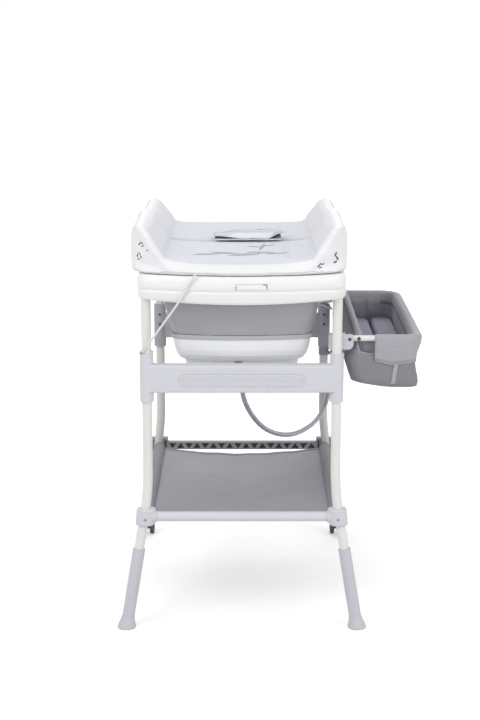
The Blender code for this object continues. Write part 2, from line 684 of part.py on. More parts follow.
def build_panels():
    build_panel("front_panel", -1, "pale_grey_plastic")
    rear = build_panel("rear_panel", 1, "mid_grey_plastic")
    seat_y = LEG_Y - COLLAR_RADIUS + 0.0010
    length = COLLAR_RADIUS - LEG_HOLE - 0.0016
    for side in (-1, 1):
        for level, z in zip(("lower", "upper"), PANEL_SCREW_Z):
            seat = (side * LEG_X, seat_y, z)
            cut(rear, screw_hole(seat, (0, -1, 0), 0.0034, 0.0017, length))
            screw(f"rear_panel_{side_name(side)}_{level}_screw", seat, (0, -1, 0), 0.0034, 0.0017, length,
                  "black_plastic")


# ---------------------------------------------------------------- lower rails
def collar_barrel(side):
    """The collar's body: an upright barrel round the leg, wider across than along, with rounded ends."""
    low, high = T_COLLAR_BOTTOM, T_COLLAR_TOP
    levels = [(low, 0.0), (low + 0.3 * T_COLLAR_ROUND, 0.6), (low + T_COLLAR_ROUND, 1.0),
              (high - T_COLLAR_ROUND, 1.0), (high - 0.3 * T_COLLAR_ROUND, 0.6), (high, 0.0)]
    axis = leg_point(side, -1, RAIL_Z)
    rings = []
    for z, share in levels:
        lean = leg_point(side, -1, z) - axis
        half_width = T_COLLAR_HALF_WIDTH - (1 - share) * T_COLLAR_ROUND * 0.7
        half_depth = T_COLLAR_HALF_DEPTH - (1 - share) * T_COLLAR_ROUND * 0.7
        centre = Vector((axis.x - side * T_COLLAR_OFFSET + lean.x * 0.6, axis.y + lean.y, z))
        rings.append([centre + Vector((half_width * math.cos(t), half_depth * math.sin(t), 0.0))
                      for t in (2 * math.pi * (k + 0.5) / 24 for k in range(24))])
    return loft(rings)


def build_front_rail():
    leg_y = leg_point(1, -1, RAIL_Z).y
    leg_x = leg_point(1, -1, RAIL_Z).x
    tube_end = leg_x - LEG_HOLE - 0.0020
    add("front_cross_tube", rod((-tube_end, leg_y, RAIL_Z), (tube_end, leg_y, RAIL_Z), CROSS_RADIUS),
        "pale_grey_plastic")
    for side in (-1, 1):
        collar = add(f"front_{side_name(side)}_collar", collar_barrel(side), "pale_grey_plastic")
        join(collar,
             rod((side * (leg_x - T_SOCKET_REACH), leg_y, RAIL_Z), (side * leg_x, leg_y, RAIL_Z),
                 CROSS_RADIUS + 0.0028),
             rod((side * LEG_X_SIDE, leg_y, RAIL_Z), (side * LEG_X_SIDE, leg_y + SIDE_SOCKET_REACH, RAIL_Z),
                 SIDE_SOCKET_RADIUS))
        cut(collar,
            leg_bar(side, -1, T_COLLAR_BOTTOM - 0.03, T_COLLAR_TOP + 0.03, LEG_HOLE),
            rod((0.0, leg_y, RAIL_Z), (side * (tube_end + GAP), leg_y, RAIL_Z), CROSS_RADIUS + GAP),
            rod((side * LEG_X_SIDE, leg_y + LEG_HOLE + 0.0030, RAIL_Z), (side * LEG_X_SIDE, 0.0, RAIL_Z),
                SIDE_RADIUS + GAP))
        seat = (side * (leg_x - T_COLLAR_OFFSET), leg_y - T_COLLAR_HALF_DEPTH + 0.0016, RAIL_Z - 0.0030)
        length = T_COLLAR_HALF_DEPTH - LEG_HOLE - 0.0032
        cut(collar, screw_hole(seat, (0, -1, 0), 0.0036, 0.0017, length))
        screw(f"front_{side_name(side)}_collar_screw", seat, (0, -1, 0), 0.0036, 0.0017, length)


def build_side_tubes():
    start = leg_point(1, -1, RAIL_Z).y + LEG_HOLE + 0.0030 + GAP
    end = leg_point(1, 1, (CLIP_BOTTOM + CLIP_TOP) / 2).y - CLIP_FRONT - 0.0006
    for side in (-1, 1):
        tube = add(f"{side_name(side)}_side_tube",
                   rod((side * LEG_X_SIDE, start, RAIL_Z), (side * LEG_X_SIDE, end, RAIL_Z), SIDE_RADIUS),
                   "mid_grey_plastic")
        cut(tube, leg_bar(side, 1, RAIL_Z - 0.05, RAIL_Z + 0.05, LEG_HOLE))


def build_rear_bar():
    leg = leg_point(1, 1, (CLIP_BOTTOM + CLIP_TOP) / 2)
    bar_front = leg.y - CLIP_FRONT
    bar_end = leg.x - CLIP_INNER + 0.004
    bar = add("rear_cross_bar", box((-bar_end, bar_front, REAR_BAR_BOTTOM),
                                    (bar_end, bar_front + REAR_BAR_DEPTH, REAR_BAR_TOP)), "rib_grey_plastic")
    clips = [box((min(side * (leg.x - CLIP_INNER), side * (leg.x + CLIP_OUTER)), bar_front, CLIP_BOTTOM),
                 (max(side * (leg.x - CLIP_INNER), side * (leg.x + CLIP_OUTER)), leg.y + CLIP_BACK, CLIP_TOP))
             for side in (-1, 1)]
    join(bar, *clips)
    wall = 0.0026
    cells = ribbed_cells(REAR_BAR_CELLS, leg.x - CLIP_INNER - 0.002, REAR_BAR_BOTTOM + wall, REAR_BAR_TOP - wall,
                         wall, bar_front - 0.01, bar_front + REAR_BAR_DEPTH - 0.005)
    cut(bar, cells)
    for side in (-1, 1):
        slots = [box((min(side * a, side * b), bar_front - 0.01, CLIP_BOTTOM + 0.005),
                     (max(side * a, side * b), bar_front + 0.011, CLIP_TOP - 0.005))
                 for a, b in ((leg.x - CLIP_INNER + 0.0035, leg.x - CLIP_INNER + 0.0085),
                              (leg.x + LEG_HOLE + 0.0026, leg.x + LEG_HOLE + 0.0070))]
        cut(bar, merged(*slots), leg_bar(side, 1, CLIP_BOTTOM - 0.04, CLIP_TOP + 0.04, LEG_HOLE))


# ---------------------------------------------------------------- shelf
def build_shelf():
    """Fabric slung between the side tubes, with a sleeve sewn round each of them."""
    start = leg_point(1, -1, RAIL_Z).y + SIDE_SOCKET_REACH + SHELF_START
    top, bottom = [], []
    half = LEG_X_SIDE
    steps = 16
    for k in range(steps + 1):
        x = half * (2 * k / steps - 1)
        z = RAIL_Z - SHELF_THICK / 2 - SHELF_SAG * (1 - (x / half) ** 2)
        top.append((x, z + SHELF_THICK / 2))
        bottom.append((x, z - SHELF_THICK / 2))
    shelf = add("shelf_fabric", prism(top + bottom[::-1], "y", start, SHELF_END_Y), "shelf_cloth")
    for side in (-1, 1):
        join(shelf, rod((side * half, start, RAIL_Z), (side * half, SHELF_END_Y, RAIL_Z), SHELF_SLEEVE))
    for side in (-1, 1):
        cut(shelf, rod((side * half, start - 0.02, RAIL_Z), (side * half, SHELF_END_Y + 0.02, RAIL_Z),
                       SIDE_RADIUS + GAP))


# ---------------------------------------------------------------- feet and casters
def build_feet():
    for side in (-1, 1):
        name = side_name(side)
        top, bottom = leg_point(side, -1, SLEEVE_TOP), leg_point(side, -1, SLEEVE_BOTTOM)
        sleeve = add(f"{name}_foot_sleeve", rod(bottom, top, SLEEVE_RADIUS),
                     "pale_grey_plastic", bottom)
        cut(sleeve, leg_bar(side, -1, SLEEVE_BOTTOM - 0.03, SLEEVE_TOP + 0.03, LEG_HOLE))
        up = leg_direction(side, -1)
        seat = bottom - up * GAP
        floor = leg_point(side, -1, 0.0)
        level = Vector((0, 0, 1))
        spigot = LEG_HOLE - GAP
        rings = [ring_of_points(floor, level, FOOT_RADIUS - 0.0008),
                 ring_of_points(floor + up * 0.0025, level, FOOT_RADIUS),
                 ring_of_points(floor + up * 0.0080, level + up, FOOT_RADIUS - 0.0010),
                 ring_of_points(floor + up * 0.0180, up, FOOT_RADIUS - 0.0045),
                 ring_of_points(seat - up * 0.0015, up, SLEEVE_RADIUS + 0.0006),
                 ring_of_points(seat, up, SLEEVE_RADIUS),
                 ring_of_points(seat, up, spigot),
                 ring_of_points(seat + up * FOOT_SPIGOT, up, spigot)]
        add(f"{name}_foot", loft(rings), "pale_grey_plastic", floor)


def build_caster(side):
    name = side_name(side)
    end_point = leg_point(side, 1, SOCKET_BOTTOM)
    up = leg_direction(side, 1)
    level = Vector((0, 0, 1))
    rings = [ring_of_points(end_point, level, SOCKET_RADIUS - 0.0030),
             ring_of_points(leg_point(side, 1, SOCKET_BOTTOM + 0.0075), level + up, SOCKET_RADIUS),
             ring_of_points(leg_point(side, 1, SOCKET_TOP - 0.0020), up, SOCKET_RADIUS),
             ring_of_points(leg_point(side, 1, SOCKET_TOP), up, SOCKET_RADIUS - 0.0015)]
    socket = add(f"{name}_caster_socket", loft(rings), "mid_grey_plastic")
    cut(socket, leg_bar(side, 1, REAR_LEG_END - GAP, SOCKET_TOP + 0.03, LEG_HOLE),
        rod(end_point - level * 0.01, (end_point.x, end_point.y, STEM_TOP + 0.0008), STEM_RADIUS + STEM_CLEARANCE))

    swivel = Vector((end_point.x, end_point.y, 0.0))
    axle = swivel + Vector((0.0, CASTER_TRAIL, WHEEL_RADIUS))
    cheek = [(axle.y + 0.0105 * math.cos(t), axle.z + 0.0105 * math.sin(t))
             for t in (math.radians(a) for a in range(-150, 31, 20))]
    cheek += [(swivel.y + 0.0150, FORK_TOP - 0.0080), (swivel.y + 0.0110, FORK_TOP),
              (swivel.y - 0.0110, FORK_TOP), (swivel.y - 0.0120, FORK_TOP - 0.0080)]
    fork = add(f"{name}_caster_fork",
               prism(cheek, "x", swivel.x - FORK_WIDTH / 2, swivel.x + FORK_WIDTH / 2), "black_plastic", swivel)
    join(fork,
         rod(swivel + level * (FORK_TOP - 0.0040), swivel + level * FORK_TOP, 0.0115),
         rod(swivel + level * (FORK_TOP - 0.0100), (swivel.x, swivel.y, STEM_TOP), STEM_RADIUS))
    cut(fork, rod(axle - Vector((0.02, 0, 0)), axle + Vector((0.02, 0, 0)), AXLE_RADIUS + GAP))
    reach = FORK_WIDTH / 2 + WHEEL_GAP + WHEEL_WIDTH - 0.0015
    add(f"{name}_axle", rod(axle - Vector((reach, 0, 0)), axle + Vector((reach, 0, 0)), AXLE_RADIUS), "steel", axle)

    half = WHEEL_WIDTH / 2
    profile = [(-half + 0.0015, AXLE_RADIUS + GAP), (-half + 0.0015, 0.0100), (-half, 0.0120), (-half, 0.0220),
               (-half + 0.0016, WHEEL_RADIUS - 0.0007), (-half + 0.0035, WHEEL_RADIUS),
               (half - 0.0035, WHEEL_RADIUS), (half - 0.0016, WHEEL_RADIUS - 0.0007), (half, 0.0220),
               (half, 0.0120), (half - 0.0015, 0.0100), (half - 0.0015, AXLE_RADIUS + GAP)]
    for place, way in (("inner", -side), ("outer", side)):
        centre = axle + Vector((way * (FORK_WIDTH / 2 + WHEEL_GAP + half), 0, 0))
        wheel = turned(profile, centre, (1, 0, 0), WHEEL_SEGMENTS, lowest_at_corner(WHEEL_SEGMENTS))
        add(f"{name}_{place}_wheel", wheel, "mid_grey_plastic", centre)


# ---------------------------------------------------------------- mat and belt
def mat_end(x):
    """How far along the mat's bowed end, with its round corner, stands at x."""
    turn = max(0.0, (abs(x) - MAT_HALF_WIDTH + MAT_CORNER) / MAT_CORNER)
    bow = RIM_BOW - math.sqrt(RIM_BOW ** 2 - x ** 2)
    return MAT_END_Y - bow - MAT_CORNER * (1 - math.sqrt(1 - turn ** 2))


def mat_section(crest):
    """Half the mat's cross-section, from its middle to its edge: across, underside, top."""
    rise = crest - MAT_FLOOR
    slope_x, foot_x = MAT_HALF_WIDTH - MAT_SIDE_FLAT, MAT_FLOOR_HALF + 0.0060
    corner_x = MAT_HALF_WIDTH - MAT_CORNER
    slope = (rise - 0.0060) / (slope_x - foot_x)
    return [(0.0, MAT_BOTTOM, MAT_FLOOR), (MAT_FLOOR_HALF / 3, MAT_BOTTOM, MAT_FLOOR),
            (MAT_FLOOR_HALF * 2 / 3, MAT_BOTTOM, MAT_FLOOR), (MAT_FLOOR_HALF, MAT_BOTTOM, MAT_FLOOR),
            (foot_x, MAT_BOTTOM, MAT_FLOOR + 0.0040),
            (corner_x, MAT_BOTTOM, MAT_FLOOR + 0.0040 + slope * (corner_x - foot_x)),
            (slope_x, MAT_BOTTOM, crest - 0.0020), (MAT_WING_TOP_X, MAT_BOTTOM + 0.0005, crest),
            (MAT_HALF_WIDTH - 0.0045, MAT_BOTTOM + 0.0030, MAT_FLOOR + rise * 0.91),
            (MAT_HALF_WIDTH, MAT_BOTTOM + 0.0110, MAT_FLOOR + rise * 0.68)]


def mat_half(end, drop):
    """One half of the mat, with its raised sides' tops lower by drop; upright strips close it at both ends."""
    stations = [(MAT_END_Y, MAT_CREST - 0.0110), (MAT_END_Y - 0.0120, MAT_CREST - 0.0025),
                (MAT_END_Y - 0.0500, MAT_CREST), (MAT_CREASE_GAP, MAT_CREST)]
    shape = bmesh.new()
    rows = []
    for y, crest in stations:
        half = mat_section(crest - drop)
        across = [(-x, low, high) for x, low, high in half[:0:-1]] + half
        low = [shape.verts.new((x, end * y * mat_end(x) / MAT_END_Y, z)) for x, z, _ in across]
        high = [shape.verts.new((x, end * y * mat_end(x) / MAT_END_Y, z)) for x, _, z in across]
        rows.append((low, high))
    for (low, high), (next_low, next_high) in zip(rows, rows[1:]):
        ring, after = low + high[::-1], next_low + next_high[::-1]
        for k in range(len(ring)):
            shape.faces.new((ring[k], ring[k - 1], after[k - 1], after[k]))
    for low, high in (rows[0], rows[-1]):
        for k in range(len(low) - 1):
            shape.faces.new((low[k], low[k + 1], high[k + 1], high[k]))
    return shape


def build_mat():
    """Two halves that meet at a crease across the middle, and the belt on them."""
    add("mat_near_half", mat_half(-1, 0.0), "mat_cover")
    add("mat_far_half", mat_half(1, MAT_FAR_DROP), "mat_cover")
    low_corner = (BELT_CENTRE[0] - BELT_SIZE[0] / 2, BELT_CENTRE[1] - BELT_SIZE[1] / 2)
    high_corner = (BELT_CENTRE[0] + BELT_SIZE[0] / 2, BELT_CENTRE[1] + BELT_SIZE[1] / 2)
    levels = [round_rectangle(low_corner, high_corner, 0.012, z, 3)
              for z in (MAT_FLOOR + GAP, MAT_FLOOR + GAP + BELT_THICK)]
    add("safety_belt", loft(levels), "belt_cloth")


# ---------------------------------------------------------------- straps and hose
def strap_start(side, end):
    """A strap's first two points: under the mat's overhang, then just clear of the ring's lower edge."""
    start_x = STRAP_START_X
    edge_x = STRAP_START_X + (MAT_BOTTOM - RING_BOTTOM) * STRAP_RUN
    clear = RIM_HALF_LENGTH - RIM_BOW + STRAP_RADIUS + 0.0012
    return [Vector((side * x, end * (clear + math.sqrt(RIM_BOW ** 2 - x ** 2)), z))
            for x, z in ((start_x, MAT_BOTTOM - GAP - 0.0016), (edge_x, RING_BOTTOM - 0.0040))]


def strap_route(side, end, wrap, turns):
    """A strap from under the mat's end down to a leg and round it; turns are (degrees, height) round the leg."""
    start, edge = strap_start(side, end)
    hoop = [leg_point(side, end, z) + Vector((wrap * math.cos(math.radians(a)), wrap * math.sin(math.radians(a)), 0))
            for a, z in turns]
    route = [start.lerp(edge, k / 4) for k in range(4)] + [edge.lerp(hoop[0], k / 7) for k in range(7)]
    for k, ((a, z), (b, y)) in enumerate(zip(turns, turns[1:])):
        pieces = max(1, round(abs(b - a) / 22))
        for n in range(pieces):
            share = n / pieces
            angle = math.radians(a + (b - a) * share)
            axis = leg_point(side, end, z + (y - z) * share)
            route.append(axis + Vector((wrap * math.cos(angle), wrap * math.sin(angle), 0.0)))
    return route + [hoop[-1]]


def hose_route():
    """Down from the spout, one slack bight under the tub, then up beside the rear leg to its clip."""
    # each: share of the way across, share of the way along, height
    bight = [(0.0, 0.0, 0.583), (0.012, 0.024, 0.545), (0.059, 0.072, 0.507), (0.13, 0.146, 0.469),
             (0.217, 0.235, 0.435), (0.327, 0.35, 0.405), (0.45, 0.476, 0.382), (0.572, 0.6, 0.369),
             (0.686, 0.716, 0.366), (0.789, 0.822, 0.371), (0.864, 0.904, 0.384), (0.919, 0.958, 0.405),
             (0.957, 0.986, 0.435), (0.982, 0.996, 0.47), (0.996, 1, 0.505)]
    along = HOSE_TOP_Y - DRAIN_Y
    route = [(0.0, DRAIN_Y, SPOUT_END - GAP)]
    route += [(HOSE_TOP_X * across, DRAIN_Y + along * share, z) for across, share, z in bight]
    route += [(HOSE_TOP_X, HOSE_TOP_Y, HOSE_CLIP_Z - 0.0080), (HOSE_TOP_X, HOSE_TOP_Y, HOSE_CLIP_Z + 0.0060)]
    return route


def build_straps_and_hose():
    over_leg = LEG_RADIUS + 2 * GAP + STRAP_RADIUS
    over_collar = COLLAR_RADIUS + 3 * GAP + STRAP_RADIUS
    rest = COLLAR_TOP + GAP + STRAP_RADIUS
    front = strap_route(-1, -1, over_leg, [(-114, rest + 0.0050), (-180, rest + 0.0006), (-250, rest), (-400, rest)])
    rear = strap_route(1, 1, over_collar, [(69, 0.6760), (0, 0.6650), (-60, 0.6720), (-100, 0.6800), (-200, 0.6800)])
    cord("front_mat_strap", front, STRAP_RADIUS, "elastic", 2)
    cord("rear_mat_strap", rear, STRAP_RADIUS, "elastic", 2)
    route = smooth_route(hose_route(), 2.2 * HOSE_RADIUS * 2)
    cord("drain_hose", route, HOSE_RADIUS, "hose", 3)
    top = Vector(hose_route()[-1])
    cap = [(GAP, 0.0020), (0.0, HOSE_RADIUS + 0.0014), (0.0100, HOSE_RADIUS + 0.0014), (0.0120, 0.0040)]
    add("hose_end_plug", turned(cap, top, (0, 0, 1), 16, Vector((1, 0, 0)), closed=False), "mid_grey_plastic", top)
    leg = leg_point(1, 1, COLLAR_BOTTOM - GAP)
    drop = Vector((0, 0, -HOSE_CLIP_HEIGHT))
    centre = Vector((top.x, top.y, HOSE_CLIP_Z))
    low, high = Vector((0, 0, -0.0045)), Vector((0, 0, 0.0045))
    clip = add("hose_clip", rod(leg + drop, leg, LEG_RADIUS + 0.0024), "mid_grey_plastic")
    web = centre.lerp(Vector((leg.x, leg.y, HOSE_CLIP_Z)), 0.5)
    join(clip, rod(centre + low, centre + high, HOSE_RADIUS + 0.0026),
         box(web - Vector((0.0080, 0.0060, 0.0040)), web + Vector((0.0080, 0.0060, 0.0040))))
    cut(clip, rod(leg + drop * 2, leg - drop, LEG_HOLE),
        rod(centre + low * 2, centre + high * 2, HOSE_RADIUS + 2 * GAP))


# ---------------------------------------------------------------- side basket
def bend_points(corner, before, after, radius, steps=6):
    """A quarter turn round corner, from the way before points to the way after points."""
    corner, before, after = Vector(corner), Vector(before), Vector(after)
    centre = corner - before * radius + after * radius
    return [centre + radius * (before * math.sin(t) - after * math.cos(t))
            for t in (math.pi / 2 * k / steps for k in range(steps + 1))]


def build_basket_frame():
    z = BASKET_RAIL_Z
    east, north = Vector((1, 0, 0)), Vector((0, 1, 0))
    path = [Vector((BASKET_ARM_START, -BASKET_ARM_Y, z))]
    path += bend_points((BASKET_OUTER_X, -BASKET_ARM_Y, z), east, north, BASKET_BEND)
    path += bend_points((BASKET_OUTER_X, BASKET_ARM_Y, z), north, -east, BASKET_FAR_BEND)
    path.append(Vector((BASKET_ARM_START, BASKET_ARM_Y, z)))
    pivot = (BASKET_PIVOT_X, 0.0, z)
    tube = add("basket_tube", sweep(path, BASKET_TUBE_RADIUS, 12, Vector((0, 0, 1))), "white_tube", pivot)
    for end in (-1, 1):
        pin = Vector((BASKET_PIVOT_X, end * BASKET_ARM_Y, z))
        cut(tube, rod(pin - north * 0.02, pin + north * 0.02, PIN_RADIUS + GAP, 12))
    rail_end = BASKET_ARM_Y - BASKET_TUBE_RADIUS - GAP
    add("basket_inner_rail", rod((BASKET_INNER_X, -rail_end, z), (BASKET_INNER_X, rail_end, z),
                                 BASKET_INNER_RADIUS, 12), "white_tube", pivot)


def build_basket_bracket(end):
    """A clip that grips the back of a leg and carries the basket's arm on a pin."""
    face = end * (LEG_Y - BRACKET_FRONT)
    plate = face - end * BRACKET_PLATE
    back = face - end * BRACKET_DEPTH
    name = "front" if end < 0 else "rear"
    x0, x1 = LEG_X - BRACKET_INNER, BRACKET_PLATE_END
    centre_x, centre_z = x1 - BRACKET_ROUND, BRACKET_BOTTOM + BRACKET_ROUND
    outline = [(x0, BRACKET_BOTTOM), (centre_x, BRACKET_BOTTOM)]
    outline += [(centre_x + BRACKET_ROUND * math.sin(t), centre_z - BRACKET_ROUND * math.cos(t))
                for t in (math.radians(15 * k) for k in range(1, 7))]
    outline += [(x1, BRACKET_TOP - 0.003), (x1 - 0.003, BRACKET_TOP), (x0, BRACKET_TOP)]
    bracket = add(f"{name}_basket_bracket", prism(outline, "y", min(face, plate), max(face, plate)),
                  "pale_grey_plastic")
    inner = end * 0.0010
    join(bracket, box((x0, min(back, plate + inner), BRACKET_BOTTOM),
                      (BRACKET_BLOCK_END, max(back, plate + inner), BRACKET_TOP)))
    pin = Vector((BASKET_PIVOT_X, 0.0, BASKET_RAIL_Z))
    north = Vector((0, 1, 0))
    cut(bracket, leg_bar(1, end, BRACKET_BOTTOM - 0.02, BRACKET_TOP + 0.02, LEG_HOLE),
        rod(pin, pin + north * end * 0.4, PIN_RADIUS + GAP, 12))
    seat = pin + north * (face + end * GAP)
    tip = end * (BASKET_ARM_Y - BASKET_TUBE_RADIUS - 0.002)
    length = abs(seat.y - tip)
    screw(f"{name}_basket_pin", seat, (0, end, 0), PIN_HEAD, PIN_RADIUS, length, "black_plastic")


def build_bag():
    """The fabric bag hung round the basket's tube, open on top, with its arms left bare near the brackets."""
    height = BAG_TOP - BAG_BOTTOM
    levels = ((0.0, 0.0), (0.20, 0.0), (0.55, 0.55), (0.86, 1.0), (0.97, 0.85), (1.0, 0.55))
    outside, inside = [], []
    for drop, swell in levels:
        z = BAG_TOP - height * drop
        share = max(0.0, drop - 0.20) / 0.80
        low = (BAG_LEFT - BAG_BULGE * swell, -BAG_END + 0.010 * share)
        high = (BAG_RIGHT - BAG_TAPER * share, BAG_END - 0.010 * share)
        radius = BASKET_BEND + BAG_THICK + 0.006 + 0.010 * share
        tight = BAG_CORNER + 0.030 * share
        outside.append(round_rectangle(low, high, radius, z, 5, tight))
        lift = z if drop < 0.9 else max(z, BAG_BOTTOM + BAG_THICK)
        inside.append(round_rectangle((low[0] + BAG_THICK, low[1] + BAG_THICK),
                                      (high[0] - BAG_THICK, high[1] - BAG_THICK), radius - BAG_THICK,
                                      lift + (0.0006 if 0.9 < drop < 1.0 else 0.0), 5, tight - BAG_THICK))
    bag = add("basket_bag", cup(outside, inside[::-1]), "bag_cloth", (BASKET_PIVOT_X, 0.0, BASKET_RAIL_Z))
    for end in (-1, 1):
        reach = (end * (BASKET_ARM_Y - 0.0105), end * (BAG_END + 0.01))
        cut(bag, box((BAG_LEFT - 0.02, min(reach), BASKET_RAIL_Z - 0.0115),
                     (BAG_LEFT + ARM_OPENING, max(reach), BAG_TOP + 0.01)))
    middle = (BAG_LEFT + BAG_RIGHT) / 2 - 0.004
    for name, low_x, high_x in (("left", BAG_LEFT + 0.006, middle - 0.003), ("right", middle + 0.003, BAG_RIGHT - 0.022)):
        slab = [round_rectangle((low_x, -BAG_END + 0.030), (high_x, BAG_END - 0.030), 0.020, z, 3)
                for z in (BAG_BOTTOM + BAG_THICK + GAP, BAG_BOTTOM + BAG_THICK + GAP + INSERT_THICK)]
        add(f"basket_{name}_insert", loft(slab), "insert_cloth", (BASKET_PIVOT_X, 0.0, BASKET_RAIL_Z))


clear_scene()
TABLE = table_empty()
build_ring_and_rim()
build_latch()
build_tub()
build_drain()
build_legs()
build_panels()
build_front_rail()
build_side_tubes()
build_rear_bar()
build_shelf()
build_feet()
build_caster(-1)
build_caster(1)
build_mat()
build_straps_and_hose()
build_basket_frame()
build_basket_bracket(-1)
build_basket_bracket(1)
build_bag()
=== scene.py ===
"""The looks of the baby bath and changing table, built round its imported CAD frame.

Metres, +Z up, in the row frame. Places are given about the table's own centre plane: at() moves them
into the row frame. +Y runs away from the end with the plain feet, +X towards the basket.
"""

import math

import bmesh
import bpy
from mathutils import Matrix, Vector
from mathutils.bvhtree import BVHTree


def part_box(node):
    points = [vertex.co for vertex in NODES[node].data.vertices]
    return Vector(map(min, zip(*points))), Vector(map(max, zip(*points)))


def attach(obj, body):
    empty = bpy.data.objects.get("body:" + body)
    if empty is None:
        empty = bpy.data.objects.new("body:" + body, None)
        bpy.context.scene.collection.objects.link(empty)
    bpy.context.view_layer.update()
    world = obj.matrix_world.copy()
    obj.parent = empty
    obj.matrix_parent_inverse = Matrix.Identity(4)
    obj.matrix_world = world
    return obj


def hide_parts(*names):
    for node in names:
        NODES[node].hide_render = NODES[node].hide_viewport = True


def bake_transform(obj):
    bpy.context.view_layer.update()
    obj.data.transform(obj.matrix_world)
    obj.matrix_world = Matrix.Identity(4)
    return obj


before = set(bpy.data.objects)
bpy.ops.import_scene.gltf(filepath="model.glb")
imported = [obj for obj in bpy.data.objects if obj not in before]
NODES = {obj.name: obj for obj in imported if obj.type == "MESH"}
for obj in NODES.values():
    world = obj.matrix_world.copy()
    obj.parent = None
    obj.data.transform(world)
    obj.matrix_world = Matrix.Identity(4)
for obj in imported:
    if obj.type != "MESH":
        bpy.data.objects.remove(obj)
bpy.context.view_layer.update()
SCENE = bpy.context.scene
RING_LOW, RING_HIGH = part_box("support_ring")
X0 = (RING_LOW.x + RING_HIGH.x) / 2          # the table's own centre plane
WHITE = (1.0, 1.0, 1.0, 1.0)


def at(x, y, z):
    return Vector((X0 + x, y, z))


def tone(r, g, b):
    """A linear colour from the 0 to 255 levels that it shows as."""
    levels = [v / 255 for v in (r, g, b)]
    return tuple(v / 12.92 if v <= 0.04045 else ((v + 0.055) / 1.055) ** 2.4 for v in levels) + (1.0,)


def placed(name, data):
    """A new object that holds data, in the scene."""
    made = bpy.data.objects.new(name, data)
    SCENE.collection.objects.link(made)
    return made


# ---------------------------------------------------------------- camera, light and floor
CAMERA_PLACE = (0.006, -4.025, 1.508)
CAMERA_DOWN = 12.82          # degrees that the camera looks down
CAMERA_LENS, CAMERA_SENSOR = 80.0, 36.0
CAMERA_ASIDE = -4.2 / 720    # how far the picture's middle lies to one side, in picture heights
CAMERA_REACH = 60.0


def make_camera():
    camera = placed("camera", bpy.data.cameras.new("camera"))
    camera.location = at(*CAMERA_PLACE)
    camera.rotation_euler = (math.radians(90 - CAMERA_DOWN), 0.0, 0.0)
    camera.data.lens = CAMERA_LENS
    camera.data.sensor_width = CAMERA_SENSOR
    camera.data.shift_x = CAMERA_ASIDE
    camera.data.clip_end = CAMERA_REACH
    SCENE.camera = camera


def area_light(name, location, target, size, power):
    light = bpy.data.lights.new(name, "AREA")
    light.shape = "RECTANGLE"
    light.size, light.size_y = size
    light.energy = power
    made = placed(name, light)
    made.location = location
    made.rotation_euler = (Vector(target) - Vector(location)).to_track_quat("-Z", "Y").to_euler()


def seen_directly(tree):
    """1 where the camera, a reflection or a view through something looks, 0 for the light on things."""
    path = tree.nodes.new("ShaderNodeLightPath")
    total = path.outputs["Is Camera Ray"]
    for name in ("Is Glossy Ray", "Is Transmission Ray"):
        higher = tree.nodes.new("ShaderNodeMath")
        higher.operation = "MAXIMUM"
        tree.links.new(total, higher.inputs[0])
        tree.links.new(path.outputs[name], higher.inputs[1])
        total = higher.outputs[0]
    return total


def make_studio():
    world = bpy.data.worlds.new("studio")
    SCENE.world = world
    world.use_nodes = True
    tree = world.node_tree
    soft = tree.nodes["Background"]
    soft.inputs["Color"].default_value = WHITE
    soft.inputs["Strength"].default_value = WORLD_STRENGTH
    plain = tree.nodes.new("ShaderNodeBackground")
    plain.inputs["Color"].default_value = WHITE
    plain.inputs["Strength"].default_value = 1.0
    choice = tree.nodes.new("ShaderNodeMixShader")
    tree.links.new(seen_directly(tree), choice.inputs[0])
    tree.links.new(soft.outputs[0], choice.inputs[1])
    tree.links.new(plain.outputs[0], choice.inputs[2])
    tree.links.new(choice.outputs[0], tree.nodes["World Output"].inputs[0])
    for lamp in LAMPS:
        area_light(*lamp)
    shape = bmesh.new()
    bmesh.ops.create_grid(shape, x_segments=1, y_segments=1, size=FLOOR_HALF)
    mesh = bpy.data.meshes.new("floor")
    shape.to_mesh(mesh)
    shape.free()
    placed("floor", mesh)
    made = bpy.data.materials.new("studio_floor")
    made.use_nodes = True
    tree = made.node_tree
    shader = tree.nodes["Principled BSDF"]
    shader.inputs["Base Color"].default_value = FLOOR_COLOUR
    shader.inputs["Roughness"].default_value = FLOOR_ROUGHNESS
    shader.inputs["Specular IOR Level"].default_value = 0.0
    shader.inputs["Emission Color"].default_value = WHITE
    place = tree.nodes.new("ShaderNodeTexCoord")
    distance = tree.nodes.new("ShaderNodeVectorMath")
    distance.operation = "LENGTH"
    tree.links.new(place.outputs["Object"], distance.inputs[0])
    fade = tree.nodes.new("ShaderNodeMapRange")
    for key, value in zip(("From Min", "From Max", "To Min", "To Max"), (*FLOOR_FADE, *FLOOR_LIFT)):
        fade.inputs[key].default_value = value
    tree.links.new(distance.outputs["Value"], fade.inputs["Value"])
    lift = tree.nodes.new("ShaderNodeMath")
    lift.operation = "MULTIPLY"
    tree.links.new(fade.outputs[0], lift.inputs[1])
    tree.links.new(seen_directly(tree), lift.inputs[0])
    tree.links.new(lift.outputs[0], shader.inputs["Emission Strength"])
    mesh.materials.append(made)
    SCENE.view_settings.view_transform = "Standard"


WORLD_STRENGTH = 0.54
FLOOR_HALF = 14.0
FLOOR_COLOUR, FLOOR_ROUGHNESS = (0.8, 0.8, 0.8, 1.0), 0.9
FLOOR_FADE = (0.8, 3.0)      # metres from the table over which the floor fades to plain white
FLOOR_LIFT = (0.42, 0.80)    # how much white the floor shows beyond its lit tone, near and far
# each: name, place, what it points at, size, power
LAMPS = (
    ("key", (-2.2, -2.6, 3.4), (0, 0, 0.6), (2.4, 2.4), 70),
    ("fill", (2.8, -2.2, 2.2), (0, 0, 0.6), (2.4, 2.4), 42),
    ("back", (0.3, 2.8, 3.2), (0, 0, 0.7), (3.0, 1.6), 38),
)


